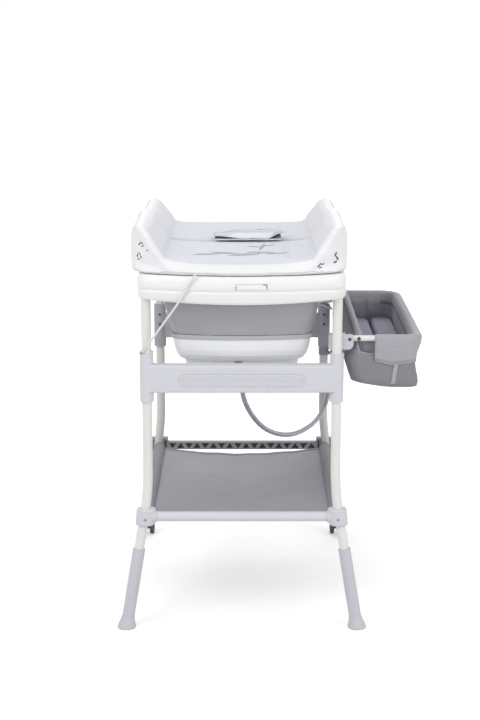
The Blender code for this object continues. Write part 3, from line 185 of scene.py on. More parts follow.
# ---------------------------------------------------------------- materials
class Finish:
    """A Principled material: colour, roughness and bump come from nodes on the piece's own coordinates."""

    def __init__(self, name):
        self.material = bpy.data.materials.new(name)
        self.material.use_nodes = True
        self.tree = self.material.node_tree
        self.shader = self.tree.nodes["Principled BSDF"]
        places = self.node("ShaderNodeTexCoord")
        self.place, self.flat = places.outputs["Object"], places.outputs["UV"]

    def node(self, kind, values=(), **settings):
        made = self.tree.nodes.new(kind)
        for key, value in settings.items():
            setattr(made, key, value)
        for key, value in dict(values).items():
            if isinstance(value, bpy.types.NodeSocket):
                self.tree.links.new(value, made.inputs[key])
            else:
                made.inputs[key].default_value = value
        return made

    def maths(self, operation, a, b=0.0):
        return self.node("ShaderNodeMath", {0: a, 1: b}, operation=operation).outputs[0]

    def times(self, a, b):
        return self.maths("MULTIPLY", a, b)

    def stretched(self, scale):
        return self.node("ShaderNodeMapping", {"Vector": self.place, "Scale": scale}).outputs[0]

    def noise(self, scale, detail=2.0, where=None, rough=0.5):
        values = {"Vector": where or self.place, "Scale": scale, "Detail": detail, "Roughness": rough}
        return self.node("ShaderNodeTexNoise", values).outputs["Fac"]

    def spread(self, value, low, high, start=0.3, end=0.7, soft="LINEAR"):
        """low to high as value goes from start to end."""
        values = {"Value": value, "From Min": start, "From Max": end, "To Min": low, "To Max": high}
        return self.node("ShaderNodeMapRange", values, interpolation_type=soft).outputs[0]

    def mix(self, share, a, b):
        return self.node("ShaderNodeMix", {0: share, 6: a, 7: b}, data_type="RGBA").outputs[2]

    def toned(self, value, a, b):
        """From one tone to another with value, over the middle of its range."""
        return self.mix(self.spread(value, 0.0, 1.0), a, b)

    def part(self, axis, away=0.0):
        """One coordinate of the piece, less away."""
        apart = self.node("ShaderNodeSeparateXYZ", {0: self.place})
        return self.maths("SUBTRACT", apart.outputs[axis], away)

    def waves(self, way, pitch):
        return self.maths("SINE", self.times(way, 2 * math.pi / pitch))

    def crossing(self, u, v, pitch):
        """Threads that cross along two directions, 0 to 1."""
        return self.spread(self.times(self.waves(u, pitch), self.waves(v, pitch)), 0.0, 1.0, -1.0, 1.0)

    def laid_weave(self, pitch, slant):
        """Crossing threads along the cloth's own two directions, or slanting across them."""
        apart = self.node("ShaderNodeSeparateXYZ", {0: self.flat})
        u, v = apart.outputs[0], apart.outputs[1]
        if slant:
            u, v = self.maths("ADD", u, v), self.maths("SUBTRACT", u, v)
        return self.crossing(u, v, pitch)

    def weave(self, pitch):
        """Crossing threads that read as a weave on a level sheet and on an upright one."""
        x, y, z = (self.part(k) for k in range(3))
        return self.crossing(self.maths("ADD", x, z), self.maths("SUBTRACT", y, z), pitch)

    def finish(self, colour, rough, bumps, specular=0.5):
        """bumps: (height socket, depth in metres, strength) from the coarsest to the finest."""
        self.tree.links.new(colour, self.shader.inputs["Base Color"])
        if isinstance(rough, bpy.types.NodeSocket):
            self.tree.links.new(rough, self.shader.inputs["Roughness"])
        else:
            self.shader.inputs["Roughness"].default_value = rough
        self.shader.inputs["Specular IOR Level"].default_value = specular
        normal = None
        for height, depth, strength in bumps:
            values = {"Height": height, "Distance": depth, "Strength": strength}
            if normal is not None:
                values["Normal"] = normal
            normal = self.node("ShaderNodeBump", values).outputs[0]
        self.tree.links.new(normal, self.shader.inputs["Normal"])
        return self.material


def shade(colour, share):
    return tuple(min(1.0, v * share) for v in colour[:3]) + (1.0,)


def moulded(name, colour, rough, grain=1400.0, depth=0.00012, specular=0.45, cloudy=0.03):
    """Injection-moulded plastic or rubber: fine spark-eroded grain and very slight flow marks."""
    f = Finish(name)
    clouds = f.noise(9.0, 3.0)
    fine = f.noise(grain, 2.0)
    base = f.toned(clouds, shade(colour, 1.0 - cloudy), shade(colour, 1.0 + cloudy / 3))
    base = f.mix(f.spread(fine, 0.0, 0.35), base, shade(colour, 1.0 - 2 * cloudy))
    polish = f.spread(f.noise(38.0, 3.0), rough - 0.02, rough + 0.03)
    return f.finish(base, polish, [(clouds, 0.0006, 0.10), (fine, depth, 0.22)], specular)


def coated(name, colour, rough=0.36):
    """Powder-coated steel tube: a faint orange-peel surface and slow changes of tone."""
    f = Finish(name)
    peel = f.noise(420.0, 1.0)
    clouds = f.noise(14.0, 2.0)
    base = f.toned(clouds, shade(colour, 0.975), colour)
    base = f.mix(f.spread(peel, 0.0, 0.25, 0.45, 0.75), base, shade(colour, 0.93))
    f.shader.inputs["Coat Weight"].default_value = 0.15
    f.shader.inputs["Coat Roughness"].default_value = 0.25
    return f.finish(base, f.spread(clouds, rough - 0.04, rough + 0.05), [(peel, 0.00025, 0.16)], 0.5)


def brushed(name, colour, rough):
    """A turned steel screw: fine, stretched tool marks."""
    f = Finish(name)
    marks = f.noise(900.0, 2.0, f.stretched((1.0, 6.0, 1.0)))
    base = f.toned(marks, shade(colour, 0.75), colour)
    f.shader.inputs["Metallic"].default_value = 1.0
    return f.finish(base, f.spread(marks, rough - 0.08, rough + 0.1), [(marks, 0.0001, 0.3)])


def cloth(name, light, dark, pitch, contrast, streak, rough=0.82, fold=0.0, laid=False):
    """Woven cloth: crossing threads, slubs along streak, slow changes of tone, and creases fold deep.

    laid says that the weave follows the cloth's own coordinates, which lay_cloth gives.
    """
    f = Finish(name)
    threads = f.laid_weave(pitch, False) if laid else f.weave(pitch)
    slubs = f.noise(60.0, 4.0, f.stretched(streak), 0.6)
    slow = f.noise(7.0, 3.0)
    base = f.toned(slubs, dark, light)
    base = f.mix(f.spread(slow, 0.0, 0.35), base, shade(dark, 0.97))
    base = f.mix(f.times(threads, contrast), base, shade(dark, 0.62))
    f.shader.inputs["Sheen Weight"].default_value = 0.12
    f.shader.inputs["Sheen Roughness"].default_value = 0.5
    bumps = [(slubs, 0.0010, 0.25), (threads, 0.0004, 0.35)]
    if fold:
        creases = f.noise(16.0, 4.0, f.stretched((streak[0] * 0.6, streak[1] * 0.6, 1.0)), 0.55)
        bumps = [(creases, fold, 0.6)] + bumps
    return f.finish(base, f.spread(slubs, rough - 0.05, rough + 0.06), bumps, 0.25)


def netting(name, light, dark, pitch):
    """Warp-knitted mesh: small holes in staggered rows with a rib between them."""
    f = Finish(name)
    holes = f.spread(f.laid_weave(pitch, True), 0.0, 0.75, 0.52, 0.86)
    slow = f.noise(9.0, 3.0)
    base = f.toned(slow, shade(light, 0.93), light)
    base = f.mix(holes, base, dark)
    f.shader.inputs["Sheen Weight"].default_value = 0.10
    return f.finish(base, f.spread(slow, 0.75, 0.9), [(slow, 0.002, 0.2), (holes, 0.0006, -0.6)], 0.2)


def braided(name, light, dark, pitch):
    """Braided elastic or webbing: slanting ribs that cross."""
    f = Finish(name)
    x, y, z = (f.part(k) for k in range(3))
    a, b = (f.waves(f.maths(slant, f.maths("ADD", x, y), z), pitch) for slant in ("ADD", "SUBTRACT"))
    ribs = f.spread(f.maths("MAXIMUM", a, b), 0.0, 1.0, -0.4, 1.0)
    slow = f.noise(25.0, 2.0)
    base = f.mix(ribs, dark, light)
    base = f.mix(f.spread(slow, 0.0, 0.3), base, shade(light, 0.9))
    return f.finish(base, f.spread(slow, 0.65, 0.8), [(ribs, 0.0005, 0.5)], 0.25)


def clear_hose(name, light, dark):
    """A frosted plastic hose: milky, glossy outside, with faint rings from its making."""
    f = Finish(name)
    rings = f.noise(26.0, 2.0, f.stretched((0.4, 0.4, 5.0)))
    milk = f.noise(60.0, 3.0)
    base = f.toned(rings, dark, light)
    base = f.mix(f.spread(milk, 0.0, 0.4), base, shade(light, 1.12))
    f.shader.inputs["Coat Weight"].default_value = 0.3
    f.shader.inputs["Coat Roughness"].default_value = 0.15
    return f.finish(base, f.spread(milk, 0.28, 0.42), [(rings, 0.0008, 0.2)], 0.5)


def ellipse(f, centre, radii, turn, axes, soft):
    """1 inside an ellipse printed square on to two of the piece's axes, 0 outside it."""
    across, along = f.part(axes[0], centre[0]), f.part(axes[1], centre[1])
    cosine, sine = math.cos(math.radians(turn)), math.sin(math.radians(turn))
    u = f.maths("ADD", f.times(across, cosine / radii[0]), f.times(along, sine / radii[0]))
    v = f.maths("SUBTRACT", f.times(along, cosine / radii[1]), f.times(across, sine / radii[1]))
    reach = f.maths("ADD", f.times(u, u), f.times(v, v))
    return f.spread(reach, 1.0, 0.0, 1.0 - soft, 1.0 + soft)


def printed(f, shapes, aside=0.0, axes=(0, 1), soft=0.12):
    """1 inside any of the ellipses in shapes, each (two places, half-sizes, turn), moved aside."""
    mask = None
    for across, along, radii, turn in shapes:
        spot = ellipse(f, (aside + across, along), radii, turn, axes, soft)
        mask = spot if mask is None else f.maths("MAXIMUM", mask, spot)
    return mask


def between(f, value, low, high, soft=0.0008):
    """1 where value lies from low to high."""
    up = f.spread(value, 0.0, 1.0, low - soft, low + soft)
    down = f.spread(value, 1.0, 0.0, high - soft, high + soft)
    return f.times(up, down)


def mat_cover():
    """Coated cover of one pale colour: white sides; inner slopes toned lavender and a floor toned blue-grey,
    both darker than the sides as painted shade; a soft leaf print on the floor.
    """
    f = Finish("mat_cover")
    x, y, z = f.part(0, X0 + MAT_ASIDE), f.part(1), f.part(2)
    across = f.maths("ABSOLUTE", x)
    clouds, fine = f.noise(7.0, 3.0), f.noise(1500.0, 2.0)
    # the sides show the cover's lit white; the slopes' and the floor's darker tones are painted shade of the
    # same cover
    white = f.toned(clouds, tone(238, 238, 241), tone(243, 243, 245))
    slope_painted_shade = f.toned(clouds, tone(219, 219, 224), tone(225, 225, 230))
    floor = f.toned(clouds, tone(202, 206, 214), tone(209, 213, 221))
    along = f.maths("ADD", f.maths("ABSOLUTE", y), f.times(f.times(x, x), MAT_PANEL_BOW))
    ends = f.spread(along, 1.0, 0.0, MAT_PANEL_END - 0.006, MAT_PANEL_END + 0.004, "SMOOTHSTEP")
    sides = f.spread(across, 1.0, 0.0, MAT_RIDGE_X - 0.007, MAT_RIDGE_X + 0.007, "SMOOTHSTEP")
    upper = f.times(ends, f.times(sides, between(f, z, MAT_UPPER_Z, 2.0)))
    in_floor = f.times(upper, between(f, across, -1.0, MAT_FOOT_X, 0.002))
    base = f.mix(in_floor, f.mix(upper, white, slope_painted_shade), floor)

    rows = f.maths("FRACT", f.maths("DIVIDE", f.maths("ADD", y, 1.0), RULER_PITCH))
    ruler = f.times(between(f, x, *RULER_X), between(f, y, *RULER_Y))
    ticks = f.times(between(f, rows, 0.40, 0.60, 0.04), ruler)
    leaves = f.times(printed(f, MAT_LEAVES, X0), f.spread(f.noise(70.0, 3.0), 0.72, 1.0))
    marks = f.times(in_floor, f.maths("MAXIMUM", leaves, f.times(ticks, 0.55)))
    base = f.mix(marks, base, tone(122, 134, 156))

    end_sprigs = f.times(printed(f, MAT_SPRIGS, X0 + MAT_ASIDE, (0, 2), 0.3), between(f, y, -1.0, -0.2))
    base = f.mix(end_sprigs, base, tone(70, 72, 80))
    side_sprigs = printed(f, MAT_SIDE_SPRIGS, 0.0, (1, 2), 0.3)
    outer = f.times(between(f, across, MAT_RIDGE_X + 0.006, 1.0), side_sprigs)
    base = f.mix(outer, base, tone(84, 88, 98))
    f.shader.inputs["Sheen Weight"].default_value = 0.05
    wrinkles = f.noise(26.0, 4.0, None, 0.55)
    bumps = [(wrinkles, 0.0022, 0.20), (fine, 0.00012, 0.25)]
    return f.finish(base, f.spread(clouds, 0.46, 0.58), bumps, 0.35)


MAT_ASIDE = -0.0060          # how far to one side the mat lies on the rim
MAT_UPPER_Z = 0.890          # what is higher belongs to the mat's upper side
MAT_PANEL_END = 0.3535       # where the mat's upper panels end, along the table
MAT_PANEL_BOW = 0.72         # and how they draw in away from the middle, with the square of the distance
MAT_RIDGE_X = 0.2275         # the line on a raised side between inner slope and outer side
MAT_FOOT_X = 0.1745          # the foot of a raised side's inner slope
RULER_PITCH = 0.020
RULER_X, RULER_Y = (0.104, 0.124), (-0.290, -0.050)
# what is printed, each: two places, half-sizes, turn in degrees. Leaves and stem on the mat's floor:
MAT_LEAVES = (
    (-0.010, -0.215, (0.100, 0.0035), 4), (-0.085, -0.228, (0.034, 0.011), 20),
    (-0.040, -0.205, (0.038, 0.012), -16), (0.006, -0.232, (0.040, 0.012), 16),
    (0.045, -0.196, (0.036, 0.011), -12), (0.086, -0.216, (0.030, 0.009), 12),
    (0.050, -0.112, (0.0045, 0.050), -8), (0.066, -0.090, (0.020, 0.008), 30),
    (0.030, -0.104, (0.020, 0.008), -28), (0.020, 0.130, (0.085, 0.0035), -3),
    (-0.020, 0.142, (0.036, 0.014), -18), (0.030, 0.118, (0.040, 0.015), 14),
    (0.080, 0.140, (0.036, 0.014), -14),
)
# buds of the small sprigs on the near end, across and height:
MAT_SPRIGS = (
    (-0.2330, 0.9420, (0.0040, 0.0016), 60), (-0.2275, 0.9455, (0.0042, 0.0016), -20),
    (-0.2255, 0.9385, (0.0038, 0.0015), 30), (-0.2385, 0.9140, (0.0042, 0.0016), 75),
    (-0.2340, 0.9195, (0.0040, 0.0015), -35), (-0.2360, 0.9060, (0.0038, 0.0015), 25),
    (-0.2300, 0.9120, (0.0036, 0.0015), -70), (-0.2140, 0.9290, (0.0020, 0.0018), 0),
    (0.1860, 0.8950, (0.0050, 0.0018), 40), (0.1920, 0.8985, (0.0042, 0.0016), -30),
    (0.1895, 0.8905, (0.0044, 0.0016), 10), (0.1975, 0.8985, (0.0022, 0.0018), 0),
    (0.2260, 0.9190, (0.0062, 0.0022), 70), (0.2300, 0.9090, (0.0060, 0.0022), -60),
    (0.2255, 0.9000, (0.0050, 0.0022), 20),
)
# and on its long sides, along and height:
MAT_SIDE_SPRIGS = tuple(
    (along + shift[0], height + shift[1], size, turn)
    for along, height in ((-0.262, 0.926), (-0.168, 0.905), (-0.080, 0.938), (0.085, 0.920), (0.190, 0.902),
                          (0.290, 0.930))
    for shift, size, turn in (((0.0, 0.008), (0.0090, 0.0028), 90), ((-0.009, 0.002), (0.0075, 0.0026), 135),
                              ((0.010, 0.001), (0.0080, 0.0026), 40))
)


def belt_cover():
    """The belt's quilted sleeve: a bright edge strip and grey-blue leaves on a pale ground."""
    f = Finish("belt_cover")
    clouds, threads = f.noise(18.0, 3.0), f.weave(0.0014)
    base = f.toned(clouds, tone(206, 209, 217), tone(219, 222, 229))
    base = f.mix(f.times(printed(f, BELT_LEAVES, X0), 0.8), base, tone(150, 160, 177))
    edge = between(f, f.part(1), -1.0, BELT_EDGE_Y)
    base = f.mix(f.times(edge, 0.85), base, tone(238, 239, 243))
    return f.finish(base, f.spread(clouds, 0.62, 0.74), [(clouds, 0.0015, 0.2), (threads, 0.0002, 0.25)], 0.3)


BELT_EDGE_Y = -0.0120        # the bright strip along the belt's near edge ends here
BELT_LEAVES = ((-0.020, 0.030, (0.030, 0.010), 12), (0.030, 0.040, (0.036, 0.009), -10),
               (0.062, 0.024, (0.026, 0.009), 22), (0.010, 0.014, (0.070, 0.0020), 3))


def make_library():
    """Every finish, by name."""
    made = {}

    def add(name, kind, *given, **more):
        made[name] = kind(name, *given, **more)

    add("rim_white", moulded, tone(244, 244, 245), 0.38, 900.0, 0.00004, 0.35, 0.012)
    add("ring_white", moulded, tone(240, 240, 241), 0.38, 900.0, 0.00005, 0.35, 0.012)
    add("tub_white", moulded, tone(247, 248, 248), 0.40, 900.0, 0.00003, 0.35, 0.012)
    add("panel_pale", moulded, tone(214, 215, 221), 0.46)
    # the rear panel's darker grey plastic, made darker still by painted shade from under the tub
    add("panel_dark", moulded, tone(166, 166, 174), 0.50)
    add("collar_pale", moulded, tone(212, 213, 220), 0.46)
    add("sleeve_pale", moulded, tone(203, 203, 211), 0.44)
    add("socket_grey", moulded, tone(170, 170, 178), 0.50)
    add("grey_detail", moulded, tone(150, 151, 160), 0.50)
    # the rear bar's dark grey, toned as its shaded ribbed inner face: partly painted shade
    add("rib_grey", moulded, tone(138, 138, 144), 0.55, cloudy=0.05)
    add("bracket_grey", moulded, tone(202, 201, 209), 0.45)
    add("outlet_grey", moulded, tone(172, 173, 178), 0.48)
    add("silicone_grey", moulded, tone(172, 171, 177), 0.46, 700.0, 0.0001, 0.5, 0.05)
    # dark tone for the gaps beside the press tab: painted shade
    add("gap_dark", moulded, tone(96, 96, 98), 0.7, 700.0, 0.0001, 0.2, 0.03)
    # a dark tone for the line under the folding wall: painted shade in the crease
    add("silicone_dark", moulded, tone(128, 127, 133), 0.5, 700.0, 0.0002, 0.3, 0.04)
    add("silicone_pale", moulded, tone(188, 189, 195), 0.56, 700.0, 0.0002, 0.35, 0.04)
    add("foot_rubber", moulded, tone(206, 207, 212), 0.62, 800.0, 0.0002, 0.3, 0.05)
    add("wheel_rubber", moulded, tone(92, 92, 98), 0.62, 800.0, 0.0003, 0.3, 0.08)
    add("fork_black", moulded, tone(62, 62, 66), 0.48, cloudy=0.06)
    add("screw_black", moulded, tone(70, 70, 75), 0.42, cloudy=0.08)
    add("steel", brushed, tone(168, 168, 172), 0.34)
    add("tube_white", coated, tone(231, 231, 228))
    add("tube_grey", coated, tone(176, 177, 184))
    add("cross_pale", coated, tone(216, 217, 222), 0.40)
    add("strap_white", braided, tone(242, 242, 241), tone(214, 214, 214), 0.0022)
    add("webbing", braided, tone(186, 185, 191), tone(152, 152, 159), 0.0026)
    add("hose", clear_hose, tone(170, 170, 180), tone(150, 150, 160))
    add("shelf_cloth", cloth, tone(179, 179, 183), tone(160, 160, 166), 0.0018, 0.30, (0.35, 5.0, 1.0),
        fold=0.0016, laid=True)
    add("shelf_sleeve", cloth, tone(158, 158, 163), tone(146, 146, 151), 0.0018, 0.25, (1.0, 1.0, 1.0),
        laid=True)
    add("band_cloth", cloth, tone(186, 185, 191), tone(170, 169, 176), 0.0017, 0.28, (1.0, 1.0, 3.0),
        fold=0.0016, laid=True)
    add("lining_cloth", cloth, tone(178, 177, 184), tone(156, 155, 163), 0.0017, 0.25, (1.0, 1.0, 2.0),
        fold=0.0020, laid=True)
    add("piping_cloth", cloth, tone(160, 159, 166), tone(143, 142, 149), 0.0015, 0.25, (1.0, 1.0, 1.0))
    add("insert_cloth", cloth, tone(172, 174, 190), tone(158, 160, 176), 0.0016, 0.22, (2.0, 2.0, 2.0))
    add("bag_net", netting, tone(150, 149, 155), tone(76, 75, 82), 0.0066)
    add("seam_dark", braided, tone(112, 112, 119), tone(92, 92, 99), 0.0014)
    # a darker copy of the white tube finish: painted shade for the rear legs under the tub
    add("leg_rear", coated, tone(214, 214, 210))
    made["mat_cover"] = mat_cover()
    add("mat_welt", cloth, tone(232, 232, 236), tone(214, 214, 220), 0.0012, 0.15, (1.0, 1.0, 1.0), rough=0.6)
    made["belt_cover"] = belt_cover()
    # the dark sheet inside the belt's sleeve: painted shade
    add("belt_lining", cloth, tone(120, 122, 130), tone(96, 98, 106), 0.0016, 0.2, (1.0, 1.0, 1.0))
    add("thread_grey", braided, tone(150, 150, 156), tone(128, 128, 134), 0.0012)
    return made


# the finish of each carried-over CAD node
NODE_FINISH = {
    "support_ring": "ring_white", "tub_rim": "rim_white", "tub_latch": "rim_white",
    "tub_wall": "silicone_grey", "tub_band": "silicone_pale", "tub_shell": "tub_white",
    "drain_spout": "outlet_grey", "drain_plug": "grey_detail", "hose_clip": "grey_detail",
    "hose_end_plug": "grey_detail", "front_panel": "panel_pale", "rear_panel": "panel_dark",
    "front_cross_tube": "cross_pale", "rear_cross_bar": "rib_grey",
    "basket_tube": "tube_white", "basket_inner_rail": "tube_white",
}
for side in ("left", "right"):
    NODE_FINISH.update({
        f"front_{side}_leg": "tube_white", f"rear_{side}_leg": "leg_rear", f"{side}_side_tube": "tube_grey",
        f"front_{side}_collar": "collar_pale", f"front_{side}_collar_screw": "steel",
        f"{side}_foot_sleeve": "sleeve_pale", f"{side}_foot": "foot_rubber", f"{side}_axle": "steel",
        f"{side}_caster_socket": "socket_grey", f"{side}_caster_fork": "fork_black",
        f"{side}_inner_wheel": "wheel_rubber", f"{side}_outer_wheel": "wheel_rubber",
        f"rear_panel_{side}_lower_screw": "screw_black", f"rear_panel_{side}_upper_screw": "screw_black"})
for end in ("front", "rear"):
    NODE_FINISH.update({f"{end}_basket_bracket": "bracket_grey", f"{end}_basket_pin": "screw_black"})


def finish_nodes():
    for name, finish in NODE_FINISH.items():
        for place in NODES[name].material_slots:
            place.material = LIBRARY[finish]


# ---------------------------------------------------------------- shapes
# the body that a piece rides on, and its slot
ON_MAT, ON_BELT = ("mat", "mat_cover"), ("mat", "belt_cloth")
ON_SHELF, ON_BAG = ("frame", "shelf_cloth"), ("basket", "bag_cloth")


def piece(name, points, faces, finish, body, slot, smooth=True, replaces=(), columns=0):
    """A mesh object that rides on a body. For rows of cloth, columns is how many points make a row."""
    mesh = bpy.data.meshes.new(name)
    mesh.from_pydata([tuple(p) for p in points], [], faces)
    mesh.validate()
    if columns:
        lay_cloth(mesh, columns)
    shape = bmesh.new()
    shape.from_mesh(mesh)
    bmesh.ops.recalc_face_normals(shape, faces=shape.faces)
    shape.to_mesh(mesh)
    shape.free()
    made = placed(name, mesh)
    mesh.materials.append(LIBRARY[finish])
    if smooth:
        mesh.shade_smooth()
    register(made, body, slot, replaces)
    return made


def lay_cloth(mesh, columns):
    """Gives each corner its place on the cloth, in metres: across its row and down the rows, or x and y where
    the cloth lies level."""
    points = [v.co for v in mesh.vertices]
    count = len(points) // columns
    middle = count // 2 * columns
    across = [0.0]
    for k in range(1, columns):
        across.append(across[-1] + (points[middle + k] - points[middle + k - 1]).length)
    down = [0.0]
    for j in range(1, count):
        here, before = j * columns + columns // 2, (j - 1) * columns + columns // 2
        down.append(down[-1] + (points[here] - points[before]).length)
    flat = mesh.uv_layers.new(name="cloth")
    for face in mesh.polygons:
        on_row = [mesh.loops[k].vertex_index % columns for k in face.loop_indices]
        wraps = max(on_row) - min(on_row) > columns // 2
        for k, column in zip(face.loop_indices, on_row):
            row = min(mesh.loops[k].vertex_index // columns, count - 1)
            u = across[column]
            if wraps and column == 0:
                u = across[-1] + (points[middle] - points[middle + columns - 1]).length
            place = points[mesh.loops[k].vertex_index]
            flat.data[k].uv = (place.x, place.y) if abs(face.normal.z) > 0.8 else (u, down[row])


def register(made, body, slot, replaces=()):
    if body:
        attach(made, body)
    if replaces:
        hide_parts(*replaces)


def grid_faces(rows, columns, round_rows=False, round_columns=False, start=0):
    """Quads over rows x columns points, closed the ways that are asked for."""
    faces = []
    for i in range(rows if round_rows else rows - 1):
        here, below = start + i * columns, start + (i + 1) % rows * columns
        for j in range(columns if round_columns else columns - 1):
            beside = (j + 1) % columns
            faces.append((here + j, here + beside, below + beside, below + j))
    return faces


def joined(rows):
    return [p for row in rows for p in row]


def capped(rings):
    """Points and faces of a body through closed rings, filled in at both ends."""
    count, points = len(rings[0]), joined(rings)
    ends = [tuple(range(count)), tuple(range(len(points) - count, len(points)))]
    return points, grid_faces(len(rings), count, False, True) + ends


def gathered(rings, middle):
    """Points and faces through closed rings, the last of them drawn together at a point."""
    count, points = len(rings[0]), joined(rings) + [middle]
    last = (len(rings) - 1) * count
    fan = [(last + k, last + (k + 1) % count, len(points) - 1) for k in range(count)]
    return points, grid_faces(len(rings), count, False, True) + fan


def round_angles(count):
    return [2 * math.pi * k / count for k in range(count)]


def tube_points(route, radius, sides):
    """Rings of points round route."""
    rings, normal = [], None
    for k, here in enumerate(route):
        ahead = (Vector(route[min(k + 1, len(route) - 1)]) - Vector(route[max(k - 1, 0)])).normalized()
        if normal is None:
            normal = ahead.orthogonal().normalized()
        normal = (normal - ahead * normal.dot(ahead)).normalized()
        other = ahead.cross(normal)
        rings.append([Vector(here) + normal * (radius * math.cos(a)) + other * (radius * math.sin(a))
                      for a in round_angles(sides)])
    return rings


TUBE_END = 0.6               # how far a tube's end bulges, in radii


def tube(name, route, radius, finish, body, slot, sides=10, closed=False):
    """A welt, pipe or thread along route, with round ends unless it is closed."""
    rings = tube_points(route, radius, sides)
    points = joined(rings)
    faces = grid_faces(len(rings), sides, closed, True)
    if not closed:
        for index, end, inner in ((0, route[0], route[1]), (len(rings) - 1, route[-1], route[-2])):
            inward = Vector(inner) - Vector(end)
            centre = sum(rings[index], Vector()) / sides - inward.normalized() * radius * TUBE_END
            first, middle = index * sides, len(points)
            faces += [(first + s, first + (s + 1) % sides, middle) for s in range(sides)]
            points.append(centre)
    return piece(name, points, faces, finish, body, slot)


def thicken(made, depth, offset=0.0):
    solid = made.modifiers.new("cloth thickness", "SOLIDIFY")
    solid.thickness = depth
    solid.offset = offset
    return made


def smoothed(made):
    rounding = made.modifiers.new("rounding", "SUBSURF")
    rounding.levels = rounding.render_levels = 1
    return made


def evened(points, count, closed=False):
    """count points at even distances along a polyline."""
    points = [Vector(p) for p in points]
    if closed:
        points = points + [points[0]]
    along = [0.0]
    for a, b in zip(points, points[1:]):
        along.append(along[-1] + (b - a).length)
    steps = count if closed else count - 1
    made, k = [], 0
    for n in range(count):
        here = along[-1] * n / steps
        while k < len(points) - 2 and along[k + 1] < here:
            k += 1
        share = (here - along[k]) / max(along[k + 1] - along[k], 1e-9)
        made.append(points[k].lerp(points[k + 1], min(1.0, share)))
    return made


def smooth_route(points, step):
    """Points about step apart on a Catmull-Rom curve through points."""
    points = [Vector(p) for p in points]
    ends = [2 * points[0] - points[1]] + points + [2 * points[-1] - points[-2]]
    route = [points[0]]
    for k in range(1, len(ends) - 2):
        a, b, c, d = ends[k - 1:k + 3]
        pieces = max(1, round((c - b).length / step))
        for n in range(1, pieces + 1):
            t = n / pieces
            route.append(0.5 * (2 * b + (c - a) * t + (2 * a - 5 * b + 4 * c - d) * t * t
                                + (3 * b - a - 3 * c + d) * t ** 3))
    return route


def route_length(route):
    return sum((b - a).length for a, b in zip(route, route[1:]))


def smooth_step(value, low, high):
    share = min(1.0, max(0.0, (value - low) / (high - low)))
    return share * share * (3 - 2 * share)


def wave(x, y, seed):
    """Smooth, fixed wandering between about -1 and 1."""
    return (math.sin(x * 1.7 + seed * 2.3 + math.sin(y * 1.3 + seed)) * 0.5
            + math.sin(y * 2.1 - seed * 1.1 + math.sin(x * 0.9 - seed * 0.7)) * 0.3
            + math.sin((x + y) * 3.3 + seed * 4.1) * 0.2)


# ---------------------------------------------------------------- straps and hose, as part.py routes them
GAP = 0.0003
LEG_X, LEG_Y, LEG_RADIUS, COLLAR_RADIUS = 0.2265, 0.3140, 0.0120, 0.0168
COLLAR_TOP = 0.6800
MAT_BOTTOM, RING_BOTTOM = 0.8733, 0.8075
RIM_HALF_LENGTH, RIM_BOW = 0.378, 0.715
STRAP_RADIUS, STRAP_START_X, STRAP_RUN = 0.0027, 0.1070, 0.690
NEAR_STRAP_LIFT, FAR_STRAP_LIFT = 0.0060, -GAP - 0.0016      # of a strap's start, from the mat's underside
HOSE_RADIUS, DRAIN_Y, SPOUT_END = 0.0063, -0.200, 0.6030
HOSE_TOP_X, HOSE_TOP_Y, HOSE_TOP_Z = 0.2525, 0.2990, (0.535, 0.549)
# the hose's bight, each point: share of the way across, share of the way along, height
HOSE_BIGHT = (
    (0.0, 0.0, 0.583), (0.012, 0.024, 0.545), (0.059, 0.072, 0.507), (0.13, 0.146, 0.469),
    (0.217, 0.235, 0.435), (0.327, 0.35, 0.405), (0.45, 0.476, 0.382), (0.572, 0.6, 0.369),
    (0.686, 0.716, 0.366), (0.789, 0.822, 0.371), (0.864, 0.904, 0.384), (0.919, 0.958, 0.405),
    (0.957, 0.986, 0.435), (0.982, 0.996, 0.47), (0.996, 1, 0.505),
)


def strap_route(side, end, wrap, turns):
    """A strap from under the mat's end down to a leg and round it; turns are (degrees, height)."""
    clear = RIM_HALF_LENGTH - RIM_BOW + STRAP_RADIUS + 0.0012
    edge_x = STRAP_START_X + (MAT_BOTTOM - RING_BOTTOM) * STRAP_RUN
    start_z = MAT_BOTTOM + (NEAR_STRAP_LIFT if end < 0 else FAR_STRAP_LIFT)
    start, edge = [Vector((side * x, end * (clear + math.sqrt(RIM_BOW ** 2 - x ** 2)), z))
                   for x, z in ((STRAP_START_X, start_z), (edge_x, RING_BOTTOM - 0.0040))]
    axis = Vector((side * LEG_X, end * LEG_Y, 0.0))

    def round_leg(angle, z):
        return axis + Vector((wrap * math.cos(angle), wrap * math.sin(angle), z))

    hoop = [round_leg(math.radians(a), z) for a, z in turns]
    route = [start.lerp(edge, k / 4) for k in range(4)] + [edge.lerp(hoop[0], k / 7) for k in range(7)]
    for (a, z), (b, y) in zip(turns, turns[1:]):
        pieces = max(1, round(abs(b - a) / 22))
        for n in range(pieces):
            route.append(round_leg(math.radians(a + (b - a) * n / pieces), z + (y - z) * n / pieces))
    return [at(*p) for p in route + [hoop[-1]]]


def hose_route():
    """Down from the spout, one slack bight under the tub, then up beside the rear leg to its clip."""
    along = HOSE_TOP_Y - DRAIN_Y
    route = [at(0.0, DRAIN_Y, SPOUT_END - GAP)]
    route += [at(HOSE_TOP_X * across, DRAIN_Y + along * share, z) for across, share, z in HOSE_BIGHT]
    return route + [at(HOSE_TOP_X, HOSE_TOP_Y, z) for z in HOSE_TOP_Z]


def strap_curve(name, route, node):
    """An elastic strap along route, in place of its CAD node."""
    curve = bpy.data.curves.new(name, "CURVE")
    curve.dimensions = "3D"
    curve.bevel_depth = STRAP_RADIUS
    curve.bevel_resolution = 4
    curve.use_fill_caps = True
    line = curve.splines.new("POLY")
    line.points.add(len(route) - 1)
    for point, place in zip(line.points, route):
        point.co = (*place, 1.0)
    line.use_smooth = True
    curve.materials.append(LIBRARY["strap_white"])
    made = placed(name, curve)
    register(made, "frame", "elastic", (node,))
    return made


